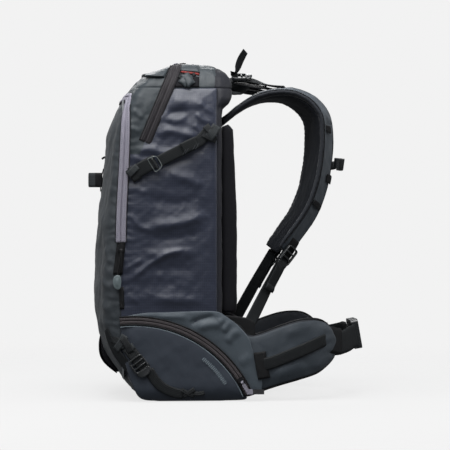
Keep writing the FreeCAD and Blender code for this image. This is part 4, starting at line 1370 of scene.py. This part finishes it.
def shoulder_strap(name, sign):
    """Padded strap: slate panel, dark rolled edges, black lining underneath."""
    path, across, outward, width, thick = strap_frame(150)
    half = 30
    k = np.linspace(-1, 1, half)
    rings = []
    for i in range(len(path)):
        end = min(1.0, (len(path) - 1 - i) / 6 + 0.35)
        face = thick[i] / 2 * (1 - np.abs(k) ** 3.2) ** 0.55
        groove = 1.5 * (np.exp(-(((k - 0.86) / 0.035) ** 2)) + np.exp(-(((k + 0.74) / 0.035) ** 2)))
        outer = np.stack([k * width[i] / 2 * (0.8 + 0.2 * end), face - groove + 0.5], 1)
        inner = np.stack([k[::-1][1:-1] * width[i] / 2 * (0.8 + 0.2 * end), -face[::-1][1:-1]], 1)
        rings.append(np.vstack([outer, inner]))
    rings = np.array(rings)
    pts = sweep(path, across, outward, rings)
    s = lengths(path)[:, None]
    lift = bumps(111 + sign, rings[..., 0], np.repeat(s, rings.shape[1], 1), 34) * 0.5
    edge = np.exp(-((np.abs(rings[..., 0]) / (width[:, None] / 2) - 0.9) / 0.1) ** 2)
    lift += np.sin(s * math.tau / 9 + 2 * bumps(113, rings[..., 0], s, 40)) * edge * 0.45
    pts += outward[:, None] * lift[..., None]
    mats = []
    for j in range(rings.shape[1]):
        kj = k[j] if j < half else 2
        mats.append(0 if -0.76 < kj < 0.84 else 1)
    pts = sided(pts, sign)
    obj = tube_piece("strap_cloth_" + name, pts, ["strap", "lining"], face_mats=mats, flip=sign > 0,
                     slot="strap_fabric", replaces=["shoulder_strap_" + name])
    sewn = (np.abs(k - 0.86) < 0.05) | (np.abs(k + 0.74) < 0.05)
    held = np.concatenate([sewn.astype(float), np.zeros(half - 2)])
    held[[0, half - 1]] = 1.0
    pin = np.tile(held, len(path))
    pin[: 3 * len(held)] = 1.0
    pin[-2 * len(held):] = 1.0
    puff(obj, cap=2.5, pin=pin)
    for j, (share, radius) in enumerate(((0.87, 0.9), (-0.74, 0.9), (-0.99, 1.5))):
        level = thick / 2 * (1 - abs(share) ** 3.2) ** 0.55 + (0.0 if abs(share) < 0.9 else -0.6)
        line = path + across * (width * share / 2)[:, None] + outward * level[:, None]
        cord_tube(f"strap_piping_{name}_{j}", line[2:-3], radius, "binding", sign=sign)
    for j, (row, share, wide, long) in enumerate(((76, 0.30, 30, 7), (102, -0.55, 26, 9), (118, 0.1, 44, 6))):
        level = thick[row] / 2 + 1.0
        c = path[row] + outward[row] * level + across[row] * (width[row] * share / 2)
        ends = [c - across[row] * wide / 2 - outward[row] * 1.2, c + outward[row] * 0.8,
                c + across[row] * wide / 2 - outward[row] * 1.2]
        webbing(f"strap_loop_{name}_{j}", ends, outward[row], long * 1.6, 1.6, mat="binding", sign=sign)


both_sides(shoulder_strap)


def lower_harness(name, sign):
    """Adjuster webbing from the strap's end through its lock to the hip wing, and its free tail."""
    p, a = STRAP[-1, :3], STRAP[-2, :3]
    t = unit(p - a)
    w = unit(np.array([1.0, 0, 0]) - t * t[0])
    n = np.cross(w, t)
    turn = math.radians(STRAP[-1, 5])
    across, outward = w * math.cos(turn) - n * math.sin(turn), n * math.cos(turn) + w * math.sin(turn)
    tilt = math.radians(14)
    face = outward * math.cos(tilt) + across * math.sin(tilt)
    origin = p + outward * (STRAP[-1, 4] / 2 + 5.6) - t * 14
    lock("adjuster_lock_" + name, "strap_adjuster_" + name, origin, t, face, 44, 28, 5.0, 12,
         ["strap_adjuster_" + name], sign=sign)
    webbing("adjuster_tab_" + name, [p - t * 26 + outward * 6.5, p - t * 14 + outward * 8.4,
                                     p + t * 4 + outward * 10.0,
            p + t * 16 + outward * 8.6], face, 22, 3.4, mat="binding", sign=sign)
    start = p + t * 2 + outward * 5.0
    stop = np.array([133.6, 101, 122.0])
    mids = [start, *(start + (stop - start) * k for k in (0.3, 0.6, 0.85)), stop]
    along = unit(stop - start)
    base = unit(np.array([1.0, 0, 0]) - along * along[0])
    normal = np.cross(base, along)
    turns = np.radians([38, 52, 68, 78, 84])
    outs = [normal * math.cos(a) + base * math.sin(a) for a in turns]
    webbing("adjuster_webbing_" + name, mids, outs, WEB_WIDE, 1.8, sign=sign,
            replaces=["lower_webbing_" + name])
    tail = [start + (stop - start) * k + outs[0] * h for k,
            h in ((0.02, 4.2), (0.22, 4.6), (0.42, 4.0), (0.5, 4.6))]
    webbing("adjuster_tail_" + name, tail, outs[1], WEB_WIDE, 1.7, sign=sign)
    fold = [start + (stop - start) * k + outs[1] * h for k, h in ((0.44, 4.8), (0.475, 6.4), (0.51, 5.4))]
    webbing("adjuster_tail_fold_" + name, fold, outs[1], WEB_WIDE, 3.0, sign=sign)
    pts = np.array([
        [(132.4, 58, 140), (132.4, 62, 112)], [(132.8, 84, 137), (132.8, 84, 112)],
        [(133.4, 102, 134), (134, 100, 106)],
        [(134.2, 111, 126), (134.5, 112, 104)],
    ], float)
    rows = np.stack([smooth_path(pts[:, 0], 20), smooth_path(pts[:, 1], 20)], 1)
    k = np.linspace(0, 1, 10)[None, :, None]
    grid = rows[:, :1] * (1 - k) + rows[:, 1:] * k
    grid = sided(grid, sign)
    grid_piece("adjuster_anchor_" + name, grid, "binding", thick=2.0, flip=sign > 0, slot="webbing")


both_sides(lower_harness)


LIFTER = np.array([60, 78.5, 529.8])


def load_lifter(name, sign):
    """Load lifter webbing from the yoke to the shoulder strap, its lock and its free tail."""
    face = np.array([0.38, 0, 0.92])
    route = [(60, 70, 524), (60, 80, 528), (60.5, 96, 527.8), (60.5, 112, 527.2), (65, 134, 520),
             (68, 152, 516.8), (71, 166, 515.8)]
    out = [face, face, face, face, (0.16, 0.25, 1), (0, 0.06, 1), (0, 0.1, 1)]
    webbing("lifter_webbing_" + name, route, out, WEB_WIDE, 3.2, sign=sign,
            replaces=["load_lifter_webbing_" + name])
    under = [(60, 84, 523.5), (61, 100, 520.5), (63, 116, 517), (66, 136, 514.6)]
    webbing("lifter_under_" + name, under, (0.3, 0.2, 1), 22, 3.6, mat="binding", sign=sign)
    lock("lifter_lock_" + name, "load_lifter_buckle_" + name, LIFTER, (0, 1, 0), face, 35, 26, 6.0, 9,
         ["load_lifter_buckle_" + name], sign=sign)
    if sign > 0:
        route = [(63, 80, 533.6), (62.8, 85, 538.5), (61.8, 89, 549), (61, 94, 562), (60, 102, 576)]
        out = [(0.3, -0.4, 0.9), (0.2, 0.8, -0.4), (0.6, 1, -0.15), (0.75, 1, -0.3), (0.6, 1, -0.35)]
    else:
        route = [(62.2, 84, 535.6), (62.4, 92, 536), (62.5, 113, 534.4), (65, 136, 526.5), (69, 160, 521.6),
                 (74, 188, 517.6)]
        out = [face, face, face, (0.2, 0.25, 1), (0.1, 0.12, 1), (0.12, 0.2, 1)]
    webbing("lifter_tail_" + name, route, out, WEB_WIDE, 1.5, sign=sign, body="load_lifter_buckle_" + name,
            replaces=["load_lifter_tail_" + name])


both_sides(load_lifter)


def haul_loop():
    """The webbing loop between the straps at the top of the back."""
    half = [(41, 79, 522), (40, 87, 520), (37, 97, 518), (27, 104, 516), (0, 107.5, 514.5)]
    route = np.array(half + [(-x, y, z) for x, y, z in half[-2::-1]], float)
    t = unit(np.gradient(route, axis=0))
    out = np.cross(t, np.array([0, 0.78, 0.62]))
    webbing("haul_loop_webbing", route, out, WEB_WIDE, 2.4, count=50, replaces=["haul_loop"])


haul_loop()


# ------------------------------------------------------------------ sternum strap
def sternum():
    """The two lengths of sternum webbing, from each clip to the buckle."""
    right = [(65, 253, 389), (58, 259.5, 389), (46, 264.5, 389), (32, 267.6, 389), (19, 268.4, 389)]
    left = [(-65, 253, 389), (-58, 259, 389), (-46, 262.6, 389), (-32, 262.9, 389), (-18, 262.9, 389),
            (-5, 262.9, 389)]
    for k, route in enumerate((right, left)):
        route = np.array(route, float)
        t = unit(np.gradient(route, axis=0))
        out = np.cross(t, np.array([0, 0.14, 0.99]))
        out *= np.sign(out[:, 1:2])
        rest = {"replaces": ["sternum_webbing"]} if k == 0 else {}
        webbing(f"sternum_webbing_{k}", route, out, 15, 1.5, body="sternum_strap", **rest)


sternum()


# ------------------------------------------------------------------ side straps, tabs and loops
def side_straps(name, sign):
    """Upper and lower compression straps with their sewn anchors, hook and lock."""
    upper = [(144.0, 34, 436), (146.5, 20, 422), (147.5, 0, 411.5), (148.4, -20, 401.5), (148.4, -46, 388)]
    webbing("upper_strap_" + name, upper, (1, 0, 0), 19, 1.8, sign=sign,
            replaces=["compression_webbing_" + name])
    webbing("upper_strap_fold_" + name, [(148.8, 16, 420), (149.8, 4, 414.5), (149.8, -8, 408.2)],
            (1, 0, 0), 19.5, 1.8,
            sign=sign)
    rows = [[(149.6 + 0.9, y0, z0), (149.6 + 0.9, y1, z1)] for (y0, z0), (y1, z1) in
            (((14, 409), (19, 418)), ((9, 407), (14, 416)), ((-3, 401), (2, 410)), ((-7, 399), (-2, 408)))]
    stitches("upper_strap_tacks_" + name, [(r, (1, 0, 0)) for r in rows], "thread_light", pitch=1.6,
             length=1.4,
             radius=0.4, sign=sign, slot="webbing")
    webbing("upper_strap_front_" + name, [(146.4, -91, 367), (148.2, -78, 374), (150.2, -64, 382),
                                          (150.4, -50, 389)],
            (1, 0, 0), 23, 2.2, sign=sign)
    webbing("upper_strap_front_tail_" + name, [(145.2, -94, 377), (147.4, -84, 366), (147.0, -79, 358)],
            (1, -0.2, 0.2),
            15, 1.8, sign=sign)
    # The front fold uses the lighter webbing copy, as a painted highlight.
    webbing("upper_strap_front_fold_" + name, [(148.0, -95, 366), (150.0, -88, 373), (149.4, -80, 381)],
            (1, -0.3, -0.2),
            11, 1.8, mat="web_grey", sign=sign)
    at = own_frame((147.4, -60, 380), (0, 0.86, 0.51), (1, 0, 0))
    hook = [(3, -10.5, 3.8), (3, 10.5, 3.8), (6, 12, 4.8), (14, 10.6, 5.2), (17.5, 7, 4.8), (17.5, -7, 4.8),
            (14, -10.6, 5.2), (6, -12, 4.8), (3, -10.5, 3.8)]
    cord_tube("upper_hook_" + name, at(hook), 0.85, "wire", count=60, sign=sign,
              body="upper_compression_buckle_" + name, slot="buckle_plastic",
              replaces=["upper_compression_buckle_" + name])
    bar = at([(9.5, y, 4.2) for y in np.linspace(-10.5, 10.5, 7)])
    joined("upper_hook_bar_" + name, [(bar_rings(bar, (1, 0, 0), 3.4, 3.0), True)], "plastic", sign=sign,
           body="upper_compression_buckle_" + name, slot="buckle_plastic")
    rear = [[(146, 26, 434), (148, 36, 429), (146, 48, 423)],
            [(146, 30, 447), (148.6, 38, 439), (146.6, 50, 440)],
            [(146, 49, 447), (149.4, 40, 433), (146, 33, 424)]]
    # The third rear tab uses the lighter webbing copy, as a painted highlight on its fold.
    for k, route in enumerate(rear):
        webbing(f"upper_rear_tab_{name}_{k}", route, (1, 0.1, 0.1 * k), 12 + 3 * (k == 2), 1.7,
                mat="web_grey" if k == 2 else "web", sign=sign)
    x = 149.4
    lower = [(x, -62, 52), (x, -50, 34), (x - 0.2, -38, 23), (x - 0.6, -20, 15), (x - 1.4, -6, 12.5)]
    webbing("lower_strap_" + name, lower, (1, 0, 0), 16, 1.8, sign=sign)
    webbing("lower_strap_upper_" + name, [(147, -95, 88), (149.2, -88, 79), (150.6, -78, 66),
                                          (150.2, -66, 53)], (1, 0, 0),
            19, 1.9, sign=sign)
    lock("lower_lock_" + name, "lower_compression_buckle_" + name, (149.0, -86, 72), (0, 0.60, -0.80),
         (1, 0, 0), 36, 27,
         4.4, 10, ["lower_compression_buckle_" + name], sign=sign)
    knot = [[(148.4, -9, 20), (150.6, 2, 13), (149, 12, 9)], [(148.4, -6, 8), (150.8, 3, 15), (149, 12, 21)],
            [(148.6, 10, 14), (149.6, 20, 13), (148.4, 28, 15)]]
    for k, route in enumerate(knot):
        webbing(f"lower_knot_{name}_{k}", route, (1, 0, 0.1 * k), 7, 1.8, sign=sign)
    z, around = np.array([116, 100, 82, 62, 44, 30.0]), np.array([1.30, 1.42, 1.58, 1.74, 1.84, 1.88])
    front = skin(t_at(z), around)
    out = np.stack([np.sin((around - 1) * 1.57), -np.cos((around - 1) * 1.57), np.full(6, -0.35)], 1)
    webbing("lower_strap_front_" + name, front + out * 1.4, out, 17, 2.2, sign=sign)
    corner = [[(132, -121, 103), (141.5, -109, 96), (147, -99, 89)],
              [(138, -115, 84), (144, -107, 95), (146, -100, 108)],
              [(146, -104, 104), (149.4, -96, 92), (149.8, -90, 80)],
              [(145, -101, 80), (148.6, -94, 86), (149, -86, 92)]]
    # Every other corner tab uses the lighter webbing copy, as a painted highlight on the folds.
    for k, route in enumerate(corner):
        webbing(f"lower_corner_tab_{name}_{k}", route, (1, -0.5 + 0.15 * k, 0.15), 13 - k, 2.0,
                mat="web_grey" if k % 2 else "web", sign=sign)


both_sides(side_straps)


def front_loops():
    """Gear loop, its base, the top nub, and the ski loop over its scuff patch."""
    half = [(11, -136), (11.8, -148), (8, -156), (0, -158.6)]
    route = np.array([(x, y, 362) for x, y in half] + [(-x, y, 362) for x, y in half[-2::-1]], float)
    t = unit(np.gradient(route, axis=0))
    # The gear loop's outer end uses the lighter webbing copy, as a painted highlight; its part near the pack
    # is black binding.
    tab = webbing("gear_loop_tab", route, np.cross(t, [0, 0, 1.0]), 24, 2.4, mat="web_grey",
                  slot="tab_fabric",
                  count=40, replaces=["front_gear_loop"])
    paint(tab, "binding", lambda c: c[:, 1] > -149)
    webbing("gear_loop_base", [(0, -134, 381), (0, -138.6, 362), (0, -139, 343)], (0, -1, 0), 26, 1.8,
            mat="binding", count=16)
    route = [(0, -138.4, 101), (0, -141, 86), (0, -140, 70), (0, -134.5, 58), (0, -125, 48), (0, -112, 38)]
    out = [(0, -1, 0.3), (0, -1, 0), (0, -1, -0.2), (0, -0.9, -0.4), (0, -0.7, -0.7), (0, -0.6, -0.8)]
    webbing("ski_loop_webbing", route, out, 60, 2.4, mat="binding", replaces=["ski_loop"])
    z = np.array([40, 46, 54, 62, 70, 78, 86, 94, 98.0])
    outer = np.array([-113, -121, -130.5, -136, -138.8, -139.9, -139.9, -139, -137.5])
    inner = np.interp(z, [30, 44, 85, 110], [-96, -108, -131, -138])
    a = np.linspace(0, math.tau, 28, endpoint=False)
    wide = 30 * np.sign(np.cos(a)) * np.abs(np.cos(a)) ** 0.35
    deep = np.sign(np.sin(a)) * np.abs(np.sin(a)) ** 0.5
    rings = [np.stack([wide, (o + i) / 2 + deep * (i - o) / 2, np.full(28, h)], 1) for o, i,
             h in zip(outer, inner, z)]
    pad = tube_piece("ski_loop_pad", np.array(rings), "pad", slot="pad_mesh")
    webbing("top_nub", [(6, -129, 401), (6, -133, 400), (6, -137, 397.5)], (0, -0.3, 1), 8, 3.4,
            mat="binding", count=8)


front_loops()


def crown_slider():
    """The top zip's enamelled slider with its bail, and a woven puller that lies on the zip."""
    outward = (0, -0.22, 0.975)
    at = own_frame((10, -13.2, 553.4), (1, 0, 0), outward)
    up, side = at([0, 0, 1]) - at([0, 0, 0]), at([0, 1, 0]) - at([0, 0, 0])
    base = at([(x, 0, 1.2) for x in np.linspace(-6, 6, 7)])
    loop = at([(0.5, 0, 2.0), (1.2, 0, 3.4), (3.0, 0, 4.2), (4.6, 0, 3.4), (5.2, 0, 2.0)])
    parts = [(bar_rings(base, up, 8.0, 2.6, 16), True), (bar_rings(loop, side, 1.4, 3.4), True)]
    joined("crown_slider_body", parts, "metal", body="top_zip_slider", slot="slider_metal",
           replaces=["top_zip_slider"])
    route = at([(x, 0, h) for x, h in ((3.0, 3.2), (9, 3.4), (18, 2.4), (28, 2.2), (36, 2.6))])
    route[:, 2] -= 0.6 * ((route[:, 0] - route[0, 0]) / 34) ** 2
    webbing("crown_slider_pull", route, outward, 7.5, 1.9, mat="puller", body="top_zip_puller",
            slot="puller_lavender", replaces=["top_zip_puller"])


crown_slider()


# ------------------------------------------------------------------ hardware kept from the CAD
KEPT = {
    "plastic": ["hip_buckle_socket", "hip_buckle_plug", "sternum_socket", "sternum_plug"]
    + ["sternum_clip_right", "sternum_clip_left"],
    "metal": ["front_zip_slider", "side_zip_slider_right", "side_zip_slider_left"],
    "puller_side": ["side_zip_puller_right", "side_zip_puller_left"],
    "inner": ["tool_pocket_divider", "hydration_sleeve"],
    "sheet": ["frame_sheet"],
    "stay": ["frame_stays"],
}
for mat_name, members in KEPT.items():
    for member in members:
        data = NODES[member].data
        data.materials.clear()
        data.materials.append(MAT[mat_name])
        if mat_name in ("plastic", "metal"):
            bevel = NODES[member].modifiers.new("soft_edges", "BEVEL")
            bevel.width, bevel.segments = 0.45 * MM, 2
            bevel.limit_method, bevel.angle_limit = "ANGLE", math.radians(35)


# ------------------------------------------------------------------ floor, light and camera
PAPER = 0.888           # the backdrop's brightness


def studio():
    """A pale floor that fades into a pale dome, an overhead softbox and weak fills."""
    bpy.ops.mesh.primitive_circle_add(vertices=96, radius=1.9, fill_type="NGON", location=(0, 0, 0))
    floor = bpy.context.object
    floor.name = "floor"
    mat, nt, bsdf = new_material("floor_paper")
    bsdf.inputs["Base Color"].default_value = (0.12, 0.12, 0.12, 1)
    bsdf.inputs["Roughness"].default_value = 0.95
    bsdf.inputs["Specular IOR Level"].default_value = 0.0
    bsdf.inputs["Emission Color"].default_value = (PAPER, PAPER, PAPER, 1)
    bsdf.inputs["Emission Strength"].default_value = 0.83
    length = node(nt, "ShaderNodeVectorMath", operation="LENGTH")
    nt.links.new(node(nt, "ShaderNodeTexCoord").outputs["Object"], length.inputs[0])
    fade = node(nt, "ShaderNodeMapRange", interpolation_type="SMOOTHSTEP")
    for key, value in (("From Min", 0.45), ("From Max", 1.5), ("To Min", 1.0), ("To Max", 0.0)):
        fade.inputs[key].default_value = value
    nt.links.new(length.outputs["Value"], fade.inputs["Value"])
    nt.links.new(fade.outputs[0], bsdf.inputs["Alpha"])
    floor.data.materials.append(mat)
    bpy.ops.mesh.primitive_uv_sphere_add(segments=48, ring_count=24, radius=9)
    dome = bpy.context.object
    dome.name = "backdrop"
    mat, nt, bsdf = new_material("backdrop_paper")
    bsdf.inputs["Base Color"].default_value = (0, 0, 0, 1)
    bsdf.inputs["Specular IOR Level"].default_value = 0.0
    bsdf.inputs["Emission Color"].default_value = (PAPER, PAPER, PAPER, 1)
    bsdf.inputs["Emission Strength"].default_value = 1.0
    dome.data.materials.append(mat)
    for obj in (floor, dome):
        obj.visible_diffuse = False
        obj.visible_glossy = False
    dome.visible_shadow = False
    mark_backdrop(floor, dome)
    world = bpy.data.worlds.new("studio")
    bpy.context.scene.world = world
    world.use_nodes = True
    back = world.node_tree.nodes["Background"]
    back.inputs["Color"].default_value = (0.94, 0.97, 1.0, 1)
    back.inputs["Strength"].default_value = 0.13
    for name, place, size, power in (
        ("top", (0.75, -0.15, 2.5), 1.9, 72), ("side", (3.0, -0.5, 2.2), 1.4, 26),
        ("front", (0.9, -2.6, 1.4), 1.2, 16), ("back", (0.5, 3.0, 1.5), 1.4, 22),
        ("left", (-3.2, -0.2, 2.0), 1.5, 34),
    ):
        light = bpy.data.lights.new(name, "AREA")
        light.size = size
        light.energy = power
        lamp = bpy.data.objects.new(name, light)
        lamp.location = place
        aim = Vector((0, 0.05, 0.28)) - Vector(place)
        lamp.rotation_euler = aim.to_track_quat("-Z", "Y").to_euler()
        bpy.context.scene.collection.objects.link(lamp)


def camera():
    """Level with the pack's middle, a little in front of its side."""
    azimuth, distance, field = math.radians(86), 3.1, 0.765
    target = Vector((0, 0.072, 0.286))
    away = Vector((math.sin(azimuth), -math.cos(azimuth), 0))
    data = bpy.data.cameras.new("camera")
    data.sensor_width = 36
    data.lens = 36 * distance / field
    cam = bpy.data.objects.new("camera", data)
    cam.location = target + away * distance
    cam.rotation_euler = (-away).to_track_quat("-Z", "Y").to_euler()
    bpy.context.scene.collection.objects.link(cam)
    bpy.context.scene.camera = cam


studio()
camera()
bpy.context.scene.view_settings.view_transform = "Standard"

boxes = {"cad": CAD_BOX, "visual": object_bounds()}
{k: [list(c) for c in b] for k, b in boxes.items()}
